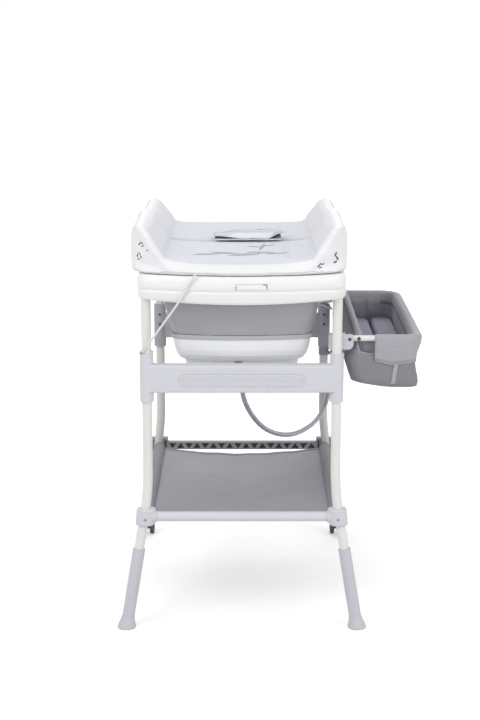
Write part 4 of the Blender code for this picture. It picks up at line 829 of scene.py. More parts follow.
def make_cords():
    over_leg = LEG_RADIUS + 2 * GAP + STRAP_RADIUS
    over_collar = COLLAR_RADIUS + 3 * GAP + STRAP_RADIUS
    rest = COLLAR_TOP + GAP + STRAP_RADIUS
    front = strap_route(-1, -1, over_leg,
                        [(-114, rest + 0.0050), (-180, rest + 0.0006), (-250, rest), (-400, rest)])
    rear = strap_route(1, 1, over_collar,
                       [(69, 0.6760), (0, 0.6650), (-60, 0.6720), (-100, 0.6800), (-200, 0.6800)])
    for end, route in (("front", front), ("rear", rear)):
        made = strap_curve(f"{end}_strap_elastic", route, f"{end}_mat_strap")
        tuple(route[0])
        round(route_length(route), 3)
    route = smooth_route(hose_route(), 2.2 * HOSE_RADIUS * 2)
    made = tube("waste_hose", route, HOSE_RADIUS, "hose", None, "hose", 20)
    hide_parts("drain_hose")
    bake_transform(made)
    tuple(route[0])
    round(route_length(route), 3)
    [tuple(p) for p in route]


# ---------------------------------------------------------------- padded pieces
CLOTH_QUALITY, CLOTH_STRETCH, CLOTH_BEND = 5, 12.0, 1.5
PRESSURE = 4.0               # of the filling on its cover
RELAX_ROUNDS = 3


def shown(made):
    """The piece as its modifiers leave it."""
    return made.evaluated_get(bpy.context.evaluated_depsgraph_get())


def remeshed(made, voxel):
    """Makes the piece's surface an even net of quads, as the cloth solver wants it."""
    even = made.modifiers.new("even net", "REMESH")
    even.mode = "VOXEL"
    even.voxel_size = voxel
    mesh = bpy.data.meshes.new_from_object(shown(made))
    old, made.data = made.data, mesh
    made.modifiers.clear()
    name = old.name
    bpy.data.meshes.remove(old)
    mesh.name = name
    mesh.shade_smooth()


def swell(made, voxel, reach, held, keep_in, frames=20):
    """Lets a padded piece fill out as sewn cloth under pressure.

    reach(point) is how far a point may move, held(point) how firmly its seam holds it, and keep_in(point)
    puts a moved point back inside the room that the piece has.
    """
    remeshed(made, voxel)
    rest = [v.co.copy() for v in made.data.vertices]
    seams = made.vertex_groups.new(name="seams")
    for k, place in enumerate(rest):
        hold = held(place)
        if hold > 0.0:
            seams.add([k], hold, "REPLACE")
    cloth_modifier = made.modifiers.new("filling", "CLOTH")
    settings = cloth_modifier.settings
    settings.quality = CLOTH_QUALITY
    settings.use_pressure = True
    settings.uniform_pressure_force = PRESSURE
    settings.effector_weights.gravity = 0.0
    settings.vertex_group_mass = "seams"
    settings.tension_stiffness = settings.compression_stiffness = CLOTH_STRETCH
    settings.bending_stiffness = CLOTH_BEND
    cloth_modifier.point_cache.frame_start, cloth_modifier.point_cache.frame_end = 1, frames
    for k in range(1, frames + 1):
        SCENE.frame_set(k)
    filled = [v.co.copy() for v in shown(made).data.vertices]
    made.modifiers.remove(cloth_modifier)
    made.vertex_groups.clear()
    SCENE.frame_set(1)
    for vertex, old, new in zip(made.data.vertices, rest, filled):
        move, most = new - old, reach(old)
        if move.length > most:
            move *= most / move.length
        vertex.co = keep_in(old + move)
    relax(made.data, keep_in)
    return smoothed(made)


def relax(mesh, keep_in):
    """Evens out what the limits on movement left rough."""
    shape = bmesh.new()
    shape.from_mesh(mesh)

    def beside(v):
        return sum((e.other_vert(v).co for e in v.link_edges), Vector()) / len(v.link_edges)

    for _ in range(RELAX_ROUNDS):
        moved = {v: v.co.lerp(beside(v), 0.5) for v in shape.verts if v.link_edges}
        for v, place in moved.items():
            v.co = keep_in(place)
    shape.to_mesh(mesh)
    shape.free()


def settled_surface(made):
    """The piece's shown surface, for laying seams on it."""
    mesh = shown(made).data
    return BVHTree.FromPolygons([v.co.copy() for v in mesh.vertices],
                                [tuple(p.vertices) for p in mesh.polygons])


def laid_on(surface, route, lift):
    """Points of a route put on a surface, lift above it."""
    made = []
    for place in route:
        near, normal, _, _ = surface.find_nearest(Vector(place))
        made.append(near + normal * lift)
    return made


# ---------------------------------------------------------------- changing mat
MAT_HALF_WIDTH, MAT_END_Y, MAT_CORNER = 0.2555, 0.3760, 0.0400
MAT_FAR_DROP = 0.0120
MAT_SWELL = 0.0030           # how much smaller than its room a cushion starts
MAT_UNDER_Z = MAT_BOTTOM + 0.0006
# the mat's top from its middle to its edge: across, height
MAT_TOP = ((0.0, 0.9030), (0.050, 0.9032), (0.100, 0.9042), (0.135, 0.9058), (0.160, 0.9082),
           (0.1745, 0.9115), (0.1840, 0.9230), (0.1970, 0.9430), (0.2090, 0.9620), (0.2165, 0.9745),
           (0.2225, 0.9835), (0.2285, 0.9890), (0.2360, 0.9912), (0.2440, 0.9922), (0.2505, 0.9912),
           (0.2552, 0.9860), (0.2562, 0.9740), (0.2560, 0.9550))
MAT_FLOOR_Z, MAT_SLOPE_Z = MAT_TOP[0][1], MAT_TOP[5][1]      # its floor, and the foot of its slopes
# how the mat closes towards its end: the place along its middle line, and how far it tucks in there
MAT_STATIONS = ((0.0012, 0.0070), (0.0040, 0.0022), (0.0120, 0.0), (0.060, 0.0), (0.120, 0.0), (0.180, 0.0),
                (0.240, 0.0), (0.300, 0.0), (0.328, 0.0), (0.3450, 0.0004), (0.3570, 0.0018),
                (0.3660, 0.0050), (0.3715, 0.0100), (0.3735, 0.0160))
MAT_LEVELS = 7               # rows of points up the mat's outer side
MAT_VOXEL = 0.0065
MAT_SEAM_HOLD = 0.007        # how far to each side a sewn line holds the cover
MAT_FLOOR_REACH, MAT_SIDE_REACH, MAT_END_REACH = 0.0032, 0.0055, 0.0045      # how far the cover may swell


def mat_end(x):
    """How far along the mat's bowed end, with its round corner, stands at x."""
    turn = min(1.0, max(0.0, (abs(x) - MAT_HALF_WIDTH + MAT_CORNER) / MAT_CORNER))
    bow = RIM_BOW - math.sqrt(RIM_BOW ** 2 - x ** 2)
    return MAT_END_Y - bow - MAT_CORNER * (1 - math.sqrt(1 - turn ** 2))


def mat_ring(drop):
    """One closed cross-section: the top from edge to edge, then the underside back, as (across, height)."""
    top = [(x - MAT_SWELL * (x / MAT_HALF_WIDTH),
            z - drop * smooth_step(z, MAT_SLOPE_Z - 0.004, 0.980) - MAT_SWELL) for x, z in MAT_TOP]
    edge_x, edge_z = top[-1]
    side = [(edge_x - 0.0015 * (k / MAT_LEVELS) ** 2,
             edge_z + (MAT_UNDER_Z + 0.003 - edge_z) * k / MAT_LEVELS) for k in range(1, MAT_LEVELS + 1)]
    side.append((edge_x - 0.005, MAT_UNDER_Z))
    under = [(edge_x * k / 8, MAT_UNDER_Z) for k in range(7, -1, -1)]
    half = top + side + under
    return [(-x, z) for x, z in half[:0:-1]] + half[:-1]


def mat_half(name, end, drop, node):
    """One cushion of the mat, boxed at its end and at the crease, sewn along its slopes and swollen."""
    rows = []
    for along, tuck in MAT_STATIONS:
        row = []
        for x, z in mat_ring(drop):
            limit = mat_end(x) - MAT_SWELL
            y = along * limit / (MAT_END_Y - MAT_SWELL)
            height = z - tuck if z > MAT_UPPER_Z else z + (tuck * 0.08 if z < 0.876 else 0.0)
            row.append(at(x * (1 - tuck * 0.25), end * y, height))
        rows.append(row)
    made = piece(name, *capped(rows), "mat_cover", *ON_MAT, replaces=(node,))

    def held(place):
        if place.z < MAT_BOTTOM + 0.003:
            return 1.0
        if place.z > 0.888:
            return max(0.0, 1.0 - abs(abs(place.x - X0) - MAT_FOOT_X) / MAT_SEAM_HOLD)
        return 0.0

    def reach(place):
        across, along = abs(place.x - X0), abs(place.y)
        if across < 0.165 and along < 0.345 and place.z > MAT_UPPER_Z:
            return MAT_FLOOR_REACH
        return MAT_SIDE_REACH if along < 0.350 else MAT_END_REACH

    def keep_in(place):
        across = place.x - X0
        limit = mat_end(min(abs(across), MAT_HALF_WIDTH - 0.0005)) + 0.0015
        y = end * min(max(end * place.y, 0.0006), limit)
        x = X0 + max(-MAT_HALF_WIDTH - 0.0005, min(MAT_HALF_WIDTH + 0.0005, across))
        return Vector((x, y, max(place.z, MAT_BOTTOM)))

    swell(made, MAT_VOXEL, reach, held, keep_in)
    return made


def mat_seams(near, far):
    """The sewn lines on each cushion: round its lower edge, along the ridges and at the slopes' feet."""
    sewn = []

    def sew(name, surface, line, count, lift, radius, sides=8):
        route = laid_on(surface, evened(line, count), lift)
        sewn.append(tube(name, route, radius, "mat_welt", *ON_MAT, sides))

    for label, made, end in (("near", near, -1), ("far", far, 1)):
        surface = settled_surface(made)
        level = MAT_BOTTOM + 0.0085
        edge = [at(x, end * (mat_end(x) + 0.004), level)
                for x in (MAT_HALF_WIDTH * math.sin(math.pi / 2 * k / 40) for k in range(-40, 41))]
        left = [at(-MAT_HALF_WIDTH - 0.002, end * y, level) for y in (0.004, 0.10, 0.20, 0.28)]
        right = [at(MAT_HALF_WIDTH + 0.002, end * y, level) for y in (0.28, 0.20, 0.10, 0.004)]
        sew(f"mat_{label}_edge_welt", surface, left + edge + right, 150, 0.0002, 0.0011)
        for side, word in ((-1, "left"), (1, "right")):
            ridge = [at(side * (MAT_RIDGE_X + 0.0200), end * y, 0.978)
                     for y in (0.004, 0.08, 0.16, 0.24, 0.29, 0.315)]
            sew(f"mat_{label}_{word}_ridge_welt", surface, ridge, 60, 0.0001, 0.0010)
            foot = [at(side * MAT_FOOT_X, end * y, 0.912) for y in (0.006, 0.10, 0.20, 0.29, 0.335)]
            sew(f"mat_{label}_{word}_foot_seam", surface, foot, 60, -0.0001, 0.0006, 6)
    return sewn


def make_mat():
    near = mat_half("mat_near_cushion", -1, 0.0, "mat_near_half")
    far = mat_half("mat_far_cushion", 1, MAT_FAR_DROP, "mat_far_half")
    for made in [near, far] + mat_seams(near, far):
        for vertex in made.data.vertices:
            vertex.co.x += MAT_ASIDE


# ---------------------------------------------------------------- belt on the mat
BELT_COLUMNS = 41
# the belt's upper layer from its near edge back: along, height over the mat
BELT_UPPER = ((-0.0230, 0.0030), (-0.0228, 0.0070), (-0.0205, 0.0112), (-0.0150, 0.0142), (-0.0060, 0.0166),
              (0.0080, 0.0186), (0.0230, 0.0190), (0.0360, 0.0168), (0.0460, 0.0125), (0.0530, 0.0075))


BELT_LEFT_X, BELT_LENGTH = -0.067, 0.166
BELT_NEAR_Y, BELT_DEPTH = -0.023, 0.076
BELT_UPPER_LIFT, BELT_LOWER_LIFT = 0.0056, 0.0050            # of its layers over the mat's floor


def belt_row(share, layer):
    """A row of the belt from its near edge to its far fold; layer is 1 on top, 0 underneath."""
    x = BELT_LEFT_X + BELT_LENGTH * share
    left = smooth_step(0.42 - share, 0.0, 0.42)
    right = smooth_step(share - 0.78, 0.0, 0.22)
    row = []
    for y, lift in BELT_UPPER:
        back = (y - BELT_NEAR_Y) / BELT_DEPTH
        swerve = (0.0050 * math.sin(2.6 * share + 0.4) * (1 - back) + 0.0060 * left * back
                  - 0.0050 * right * back)
        crumple = 0.0011 * wave(x * 70, y * 60, 1.7) * (1 - left)
        if layer:
            raised = lift * (1.0 - 0.55 * left) + 0.0035 * right
            mouth = (0.0066 * left + 0.0070 * right) * (1 - back) ** 2
            near = y + (0.0150 * left + 0.0210 * right) * (1 - back) ** 2
            row.append(at(x - 0.004 * left * back, near + swerve,
                          MAT_FLOOR_Z + BELT_UPPER_LIFT + raised + crumple + mouth))
        else:
            z = MAT_FLOOR_Z + BELT_LOWER_LIFT + 0.0012 * back + 0.3 * crumple + 0.0012 * right
            row.append(at(x - 0.004 * left * back, y * 1.02 - 0.0010 + swerve, z))
    return row


def make_belt():
    """A padded sleeve across the mat, folded at the back, whose near edges part at both ends, with a dark
    sheet inside it as painted shade.
    """
    rows = []
    for k in range(BELT_COLUMNS):
        share = k / (BELT_COLUMNS - 1)
        upper, lower = belt_row(share, 1), belt_row(share, 0)
        fold = [upper[-1].lerp(lower[-1], t) + Vector((0, 0.0035 * math.sin(math.pi * t), 0))
                for t in (0.33, 0.67)]
        rows.append(upper + fold + lower[::-1])
    faces = grid_faces(len(rows), len(rows[0]))
    made = piece("belt_sleeve", joined(rows), faces, "belt_cover", *ON_BELT, replaces=("safety_belt",))
    thicken(made, 0.0030)
    smoothed(made)
    # a dark sheet just inside the sleeve: painted shade in the openings at its ends
    inner = []
    for row in rows:
        middle = sum(row, Vector()) / len(row)
        inner.append([p.lerp(middle, 0.10) for p in row])
        for p in inner[-1]:
            p.z += 0.0022 if p.z < middle.z else -0.0030
    lining = piece("belt_lining", joined(inner), faces, "belt_lining", *ON_BELT)
    lining.data.flip_normals()
    near_edge = [row[0] + Vector((0, -0.0010, 0)) for row in rows]
    tube("belt_near_binding", near_edge, 0.0014, "strap_white", *ON_BELT, 8)
    under_edge = [row[-1] + Vector((0, -0.0012, 0.0002)) for row in rows]
    tube("belt_under_binding", under_edge, 0.0014, "mat_welt", *ON_BELT, 8)
    for label, row in (("left", rows[0]), ("right", rows[-1])):
        tube(f"belt_{label}_binding", row[:len(BELT_UPPER)], 0.0015, "strap_white", *ON_BELT, 8)
    for label, index in (("near", 4), ("far", 8)):
        line = [row[index] + Vector((0, 0, 0.0019)) for row in rows]
        stitches(f"belt_{label}_thread", line, *ON_BELT, 0.0036, 0.0004)


# ---------------------------------------------------------------- shelf
SHELF_HALF, SHELF_NEAR_Y, SHELF_FAR_Y = 0.2330, -0.2851, 0.2960
RAIL_Z, SHELF_SAG = 0.2754, 0.0205
SHELF_COLUMNS, SHELF_ROWS = 61, 91
HEM_IN, HEM_COLUMNS = 0.0075, 61     # how far in a hem's middle lies, which is half its width
SLEEVE_RADIUS, SLEEVE_ROWS, SLEEVE_SIDES = 0.0131, 60, 20
STITCH, STITCH_SIDES = 0.0040, 5


def shelf_height(x, y):
    """The slung sheet's height: its sag, the wrinkles across it, and the pull of its hems."""
    share = min(1.0, abs(x) / SHELF_HALF)
    slack = 1 - share ** 2
    ripple = (0.0013 * wave(x * 9.0, y * 46.0, 0.6) * slack ** 0.5
              + 0.0007 * wave(x * 22.0, y * 85.0, 2.1) * slack)
    at_hems = smooth_step(y, 0.20, 0.29) + smooth_step(-y, 0.21, 0.285)
    pull = 0.0022 * math.sin(x * 74.0) * slack * at_hems * 0.4
    return RAIL_Z - 0.0012 - SHELF_SAG * slack + ripple + pull


def shelf_y(step, steps):
    return SHELF_NEAR_Y + (SHELF_FAR_Y - SHELF_NEAR_Y) * step / steps


def make_hem(label, end, y):
    """The shelf's folded edge at one end, and its row of stitches."""
    across = [at(SHELF_HALF * 0.95 * (2 * k / (HEM_COLUMNS - 1) - 1), y, 0.0) for k in range(HEM_COLUMNS)]
    points = []
    for place in across:
        for along, lift in ((-HEM_IN, 0.0006), (-0.0070, 0.0021), (0.0068, 0.0021), (HEM_IN, 0.0006)):
            x, here = place.x - X0, place.y + along
            points.append(Vector((place.x, here, shelf_height(x, here) + lift)))
    hem = piece(f"shelf_{label}_hem", points, grid_faces(HEM_COLUMNS, 4), "shelf_sleeve", *ON_SHELF,
                columns=4)
    line = [Vector((p.x, y - end * 0.0048, shelf_height(p.x - X0, y) + 0.0023)) for p in across]
    stitches(f"shelf_{label}_hem_thread", line, *ON_SHELF, STITCH)
    return hem


def make_sleeve(word, side):
    """The shelf's sleeve round a side tube, and the row of stitches beside it."""
    rings = []
    for j in range(SLEEVE_ROWS):
        y, ring = shelf_y(j, SLEEVE_ROWS - 1), []
        for angle in round_angles(SLEEVE_SIDES):
            pucker = 0.0005 * wave(y * 60, angle * 2, 3.0 + side) + 0.0002 * math.sin(y * 900)
            reach = SLEEVE_RADIUS + pucker
            inner = max(0.0, math.cos(angle)) ** 6 * max(0.0, 1 - abs(math.sin(angle))) * 0.0030
            ring.append(at(side * (SHELF_HALF - math.cos(angle) * (reach + inner)), y,
                           RAIL_Z + math.sin(angle) * reach))
        rings.append(ring)
    faces = grid_faces(SLEEVE_ROWS, SLEEVE_SIDES, False, True)
    sleeve = piece(f"shelf_{word}_sleeve", joined(rings), faces, "shelf_sleeve", *ON_SHELF,
                   columns=SLEEVE_SIDES)
    thicken(sleeve, 0.0012, -1.0)
    line = [at(side * (SHELF_HALF - 0.0190), shelf_y(j, 90), 0.0) for j in range(1, 90)]
    stitches(f"shelf_{word}_sleeve_thread",
             [Vector((p.x, p.y, shelf_height(p.x - X0, p.y) + 0.0012)) for p in line], *ON_SHELF, STITCH)


def make_shelf():
    """The cloth between the side tubes: a sagging sheet with a hem at each end and a sleeve on each tube."""
    across = [SHELF_HALF * 0.985 * (2 * k / (SHELF_COLUMNS - 1) - 1) for k in range(SHELF_COLUMNS)]
    along = [shelf_y(j, SHELF_ROWS - 1) for j in range(SHELF_ROWS)]
    points = [at(x, y, shelf_height(x, y)) for y in along for x in across]
    sheet = piece("shelf_sheet", points, grid_faces(SHELF_ROWS, SHELF_COLUMNS), "shelf_cloth", *ON_SHELF,
                  replaces=("shelf_fabric",), columns=SHELF_COLUMNS)
    thicken(sheet, 0.0018)
    hems = [make_hem("near", -1, SHELF_NEAR_Y + HEM_IN), make_hem("far", 1, SHELF_FAR_Y - HEM_IN)]
    for side, word in ((-1, "left"), (1, "right")):
        make_sleeve(word, side)


def stitches(name, route, body, slot, pitch, radius=0.00045):
    """A row of separate stitches along route, pitch apart."""
    count = max(4, round(route_length(route) / pitch) * 2)
    line = evened(route, count + 1)
    points, faces = [], []
    for k in range(0, count, 2):
        bulge = line[k].lerp(line[k + 1], 0.5) + Vector((0, 0, 0.0001))
        rings = tube_points([line[k], bulge, line[k + 1]], radius, STITCH_SIDES)
        start = len(points)
        points += joined(rings)
        faces += grid_faces(len(rings), STITCH_SIDES, False, True, start)
        faces += [tuple(range(first, first + STITCH_SIDES)) for first in (start, len(points) - STITCH_SIDES)]
    return piece(name, points, faces, "thread_grey", body, slot, smooth=False)


# ---------------------------------------------------------------- side basket
RAIL_HEIGHT = 0.7130
ARM_Y, OUTER_X, INNER_X = 0.2975, 0.4200, 0.2820
BEND, FAR_BEND = 0.0300, 0.0480              # the tube's bends at its near and its far corner
SLEEVE_START_X, FAR_SLEEVE_END_X = 0.3182, 0.2790            # where the near and the far arm enter the fabric


def loop(x0, x1, y0, y1, left_radius, right_radius, sides=(26, 46), corner=7):
    """A rounded rectangle from above, from the near left corner round to the right, as (x, y, part of it)."""
    made = []

    def straight(a, b, steps, part):
        made.extend((a[0] + (b[0] - a[0]) * k / steps, a[1] + (b[1] - a[1]) * k / steps, part)
                    for k in range(steps))

    def bend(cx, cy, radius, start, part):
        made.extend((cx + radius * math.cos(a), cy + radius * math.sin(a), part)
                    for a in (math.radians(start + 90 * k / corner) for k in range(corner)))

    straight((x0 + left_radius, y0), (x1 - right_radius, y0), sides[0], "near")
    bend(x1 - right_radius, y0 + right_radius, right_radius, -90, "near")
    straight((x1, y0 + right_radius), (x1, y1 - right_radius), sides[1], "outer")
    bend(x1 - right_radius, y1 - right_radius, right_radius, 0, "far")
    straight((x1 - right_radius, y1), (x0 + left_radius, y1), sides[0], "far")
    bend(x0 + left_radius, y1 - left_radius, left_radius, 90, "inner")
    straight((x0, y1 - left_radius), (x0, y0 + left_radius), sides[1], "inner")
    bend(x0 + left_radius, y0 + left_radius, left_radius, 180, "near")
    return made


BAG_TOP = 0.7160
BAG_MIDDLE_X, BAG_FLOOR_X = 0.345, 0.342     # the bag's middle line, and the middle of its floor
# the bag's outside from its mouth down: height, inner side, outer side, end, radius by the legs, outer radius
BAG_LEVELS = (
    (0.7160, 0.2738, 0.4200, 0.3000, 0.008, 0.034), (0.7020, 0.2728, 0.4195, 0.3000, 0.009, 0.034),
    (0.6880, 0.2680, 0.4185, 0.3000, 0.014, 0.034), (0.6740, 0.2560, 0.4175, 0.3000, 0.024, 0.034),
    (0.6620, 0.2490, 0.4165, 0.3005, 0.030, 0.033), (0.6480, 0.2485, 0.4165, 0.3020, 0.032, 0.031),
    (0.6320, 0.2520, 0.4180, 0.3035, 0.033, 0.029), (0.6160, 0.2570, 0.4205, 0.3040, 0.034, 0.026),
    (0.6030, 0.2615, 0.4235, 0.3040, 0.034, 0.024), (0.5965, 0.2650, 0.4215, 0.3020, 0.034, 0.024),
)
BAG_FLOOR_Z = 0.5942         # the outer cloth's floor
LINING_FLOOR_Z = 0.6065      # and the lining's
LINING_TOP, LINING_ARM_TOP = 0.7000, 0.7175                  # its edge, and by the near arm
LINING_END_IN, LINING_LEG_IN, LINING_OUTER_IN = 0.0135, 0.0035, 0.0075       # how far inside the net it hangs
FAR_SEAM_X, FAR_SEAM_Y, FAR_SEAM_DROP = 0.3420, 0.2700, 0.090
CLOTH_DEPTH, WRINKLE_SEED = 0.0012, 0.4


def bag_mouth(x, part):
    """The height of the outer cloth's upper edge: it dips where the arms leave the bag."""
    if part == "outer":
        return 0.6900
    if part not in ("near", "far"):
        return 1.0
    if x < 0.2835:
        return 0.7040 - 0.0260 * smooth_step(x, 0.2735, 0.2835)
    return 0.6780 - 0.0050 * smooth_step(x, 0.2835, 0.3160)


def bag_bottom(x):
    """How much higher the bag's lower edge is at x than under its outer side."""
    return 0.0120 * (1 - smooth_step(x, 0.255, 0.365))


def bag_wrinkle(x, y, z):
    """How far the outer cloth is pushed out: flat at its mouth, and more wrinkled further down."""
    depth = 0.0016 * smooth_step(BAG_TOP - z, 0.004, 0.045)
    return (depth * wave((x + y) * 34.0, z * 60.0, WRINKLE_SEED)
            + 0.5 * depth * wave((x - y) * 80.0, z * 110.0, WRINKLE_SEED + 1))


def unit(way, otherwise):
    return way.normalized() if way.length > 1e-6 else Vector(otherwise)


def net_point(x, y, z, part, share):
    """Where the outer cloth hangs; share is how far down the bag, 0 to 1."""
    height = min(z, bag_mouth(x, part)) + bag_bottom(x) * share
    push = bag_wrinkle(x, y, height) * (0.7 if part == "inner" else 1.0)
    out = unit(Vector((x, y, 0)) - Vector((BAG_MIDDLE_X, max(-0.26, min(0.26, y)), 0)), (1, 0, 0))
    return at(x + out.x * push, y + out.y * push, height)


def lining_point(x, y, z, part, share):
    """Where the lining hangs inside it: clear of the inner rail, and folded inwards only."""
    top = LINING_ARM_TOP if (part == "near" and x < 0.3225) else LINING_TOP
    lift = z + bag_bottom(x) * share
    fold = 0.0028 * wave(x * 40 + y * 22, lift * 45.0, 2.6) * smooth_step(BAG_TOP - lift, 0.004, 0.03)
    fold = max(0.0, fold)
    inward = unit(Vector((BAG_MIDDLE_X - x, 0.0 if abs(y) < 0.25 else -y * 0.2, 0)), (0, 1, 0))
    if part == "inner":
        clear = 0.2895 - 0.0300 * smooth_step(BAG_TOP - z, 0.004, 0.050)
        return at(max(x, clear) + inward.x * fold, y + inward.y * fold, min(lift, top))
    return at(x + inward.x * fold, y + inward.y * fold, min(lift, top))


def bag_rows():
    """Rows of points round the outer cloth and round the lining, from the mouth down."""
    net_rows, lining_rows = [], []
    for z, x0, x1, end, left, right in BAG_LEVELS:
        outer = loop(x0, x1, -end, end, left, right)
        inner = loop(max(x0 + LINING_LEG_IN, 0.2600), x1 - LINING_OUTER_IN, -end + LINING_END_IN,
                     end - LINING_END_IN, max(0.008, left - 0.003), right - 0.004)
        share = smooth_step(BAG_TOP - z, 0.0, 0.110)
        net_rows.append([net_point(x, y, z, part, share) for x, y, part in outer])
        lining_rows.append([lining_point(x, y, z, part, share)
                            for (_, _, part), (x, y, _) in zip(outer, inner)])
    return net_rows, lining_rows


def drawn_in(edge, share, height):
    """The bag's outline drawn towards the middle of its floor; height(point) is how high it then lies."""
    middle = at(BAG_FLOOR_X, 0, 0).x
    return [Vector((middle + (p.x - middle) * share, p.y * share, height(p))) for p in edge]


def make_net(rows):
    """The bag's outer cloth, with a floor that is slightly higher at its rim."""
    floor = [drawn_in(rows[-1], share, lambda p: max(BAG_FLOOR_Z, p.z - sink))
             for share, sink in ((0.94, 0.0022), (0.80, 0.0034), (0.55, 0.0038), (0.25, 0.0040))]
    points, faces = gathered(rows + floor, at(BAG_FLOOR_X, 0.0, BAG_FLOOR_Z))
    net = piece("basket_net", points, faces, "bag_net", *ON_BAG, replaces=("basket_bag",),
                columns=len(rows[0]))
    thicken(net, CLOTH_DEPTH, -1.0)
    make_net_seams(rows)
    return net


def make_lining(rows):
    """The cloth inside the bag, which stops short of the net's lowest rows, and the seam at its far end."""
    floor = [drawn_in(rows[-1], 0.985, lambda p: p.z + 0.0035)]
    floor += [drawn_in(rows[-1], share, lambda p: LINING_FLOOR_Z) for share in (0.93, 0.5)]
    points, faces = gathered(rows[:-2] + floor, at(BAG_FLOOR_X, 0.0, LINING_FLOOR_Z))
    lining = piece("basket_lining", points, faces, "lining_cloth", *ON_BAG, columns=len(rows[0]))
    thicken(lining, CLOTH_DEPTH)
    seam = [at(FAR_SEAM_X, FAR_SEAM_Y, LINING_TOP - FAR_SEAM_DROP * k / 20) for k in range(21)]
    seam = laid_on(settled_surface(lining), seam, 0.0)
    for _ in range(8):
        seam = [seam[0]] + [(a + b + c) / 3 for a, b, c in zip(seam, seam[1:], seam[2:])] + [seam[-1]]
    tube("basket_far_lining_seam", seam, 0.0009, "seam_dark", *ON_BAG, 6)
    return lining


def make_basket():
    net_rows, lining_rows = bag_rows()
    net = make_net(net_rows)
    lining = make_lining(lining_rows)
    band = make_band()
    sleeve = make_rail_sleeve()
    edge = [p + Vector((0, 0, -0.0004)) for p in evened(net_rows[-1], 150, True)]
    hem = tube("basket_lower_piping", edge, 0.0021, "piping_cloth", *ON_BAG, 8, closed=True)
    straps = make_webbing(net)
    make_inserts()


def band_path():
    """The tube's line inside the fabric, and the way out of the basket there: (x, y, out x, out y)."""
    near_x, far_x = OUTER_X - BEND, OUTER_X - FAR_BEND
    made = [(SLEEVE_START_X + (near_x - SLEEVE_START_X) * k / 16, -ARM_Y, 0.0, -1.0) for k in range(16)]

    def bend(x, y, radius, start, steps):
        for k in range(steps + 1):
            a = math.radians(start + 90 * k / steps)
            made.append((x + radius * math.cos(a), y + radius * math.sin(a), math.cos(a), math.sin(a)))

    bend(near_x, -ARM_Y + BEND, BEND, -90, 8)
    made += [(OUTER_X, -ARM_Y + BEND + (2 * ARM_Y - BEND - FAR_BEND) * k / 60, 1.0, 0.0)
             for k in range(1, 60)]
    bend(far_x, ARM_Y - FAR_BEND, FAR_BEND, 0, 12)
    return made + [(far_x - (far_x - FAR_SLEEVE_END_X) * k / 16, ARM_Y, 0.0, 1.0) for k in range(1, 17)]


# the band's section from inside the basket, over the tube and down outside: outwards, height
BAND_SECTION = ((-0.0104, 0.6880), (-0.0100, 0.6980), (-0.0095, 0.7080), (-0.0086, 0.7152), (-0.0060, 0.7195),
                (-0.0022, 0.7214), (0.0022, 0.7214), (0.0060, 0.7195), (0.0086, 0.7152), (0.0092, 0.7080),
                (0.0090, 0.6980), (0.0088, 0.6860), (0.0084, 0.6740), (0.0080, 0.6620), (0.0076, 0.6520))


BAND_STEP = 0.01             # how far apart its rows count as, for its waves


def band_row(index, x, y, out_x, out_y):
    row = []
    along = index * BAND_STEP
    far, outside = smooth_step(y, 0.20, 0.29), max(0.0, out_x)
    for across, z in BAND_SECTION:
        low = smooth_step(0.712 - z, 0.0, 0.055) if across > 0 else 0.0
        waver = 0.0013 * wave(along * 60, z * 70, 0.9) + 0.0007 * wave(along * 140, z * 130, 3.1)
        slack = 0.0030 * outside if across > 0 else 0.0
        reach = across + slack + waver * (0.15 + 0.85 * low) - 0.0110 * low * outside - 0.0008 * low
        notch = 0.0045 * (1 - smooth_step(x, 0.318, 0.350)) * (1 - far)
        drop = low * (0.0018 * math.sin(along * 42 + 0.8) + notch)
        sunk = 0.0016 * far * smooth_step(z, 0.700, 0.716)
        row.append(at(x + out_x * reach, y + out_y * reach, z + drop - sunk))
    return row


def make_band():
    """The band round the tube, its hems, and the stitches over its lower hem."""
    path = band_path()
    rows = [band_row(k, *p) for k, p in enumerate(path)]
    columns = len(BAND_SECTION)
    made = piece("basket_band", joined(rows), grid_faces(len(rows), columns), "band_cloth", *ON_BAG,
                 columns=columns)
    thicken(made, CLOTH_DEPTH)
    tube("basket_band_hem", [row[-1] for row in rows], 0.0013, "band_cloth", *ON_BAG, 8)
    for end, row in (("near", rows[0]), ("far", rows[-1])):
        tube(f"basket_band_{end}_edge", row[4:], 0.0011, "band_cloth", *ON_BAG, 8)
    thread = [row[-2].lerp(row[-1], 0.35) + Vector((out_x, out_y, 0)) * 0.0007
              for row, (_, _, out_x, out_y) in zip(rows, path)]
    stitches("basket_band_thread", thread, *ON_BAG, 0.0042)
    return made


# the rail sleeve's section from inside the basket over the rail to the legs' side: inwards, height
RAIL_SECTION = ((0.0080, 0.6900), (0.0078, 0.7020), (0.0076, 0.7120), (0.0062, 0.7168), (0.0032, 0.7196),
                (0.0, 0.7204), (-0.0034, 0.7194), (-0.0064, 0.7166), (-0.0082, 0.7120), (-0.0086, 0.7020),
                (-0.0096, 0.6900))


RAIL_SLEEVE_Y, RAIL_SLEEVE_LENGTH, RAIL_ROWS = -0.2885, 0.577, 60


def make_rail_sleeve():
    """The cloth round the inner rail."""
    rows = []
    for k in range(RAIL_ROWS):
        y = RAIL_SLEEVE_Y + RAIL_SLEEVE_LENGTH * k / (RAIL_ROWS - 1)
        rows.append([at(INNER_X + across + 0.0007 * wave(y * 55, z * 60, 5.2), y, z)
                     for across, z in RAIL_SECTION])
    columns = len(RAIL_SECTION)
    made = piece("basket_rail_sleeve", joined(rows), grid_faces(RAIL_ROWS, columns), "band_cloth", *ON_BAG,
                 columns=columns)
    return thicken(made, CLOTH_DEPTH)


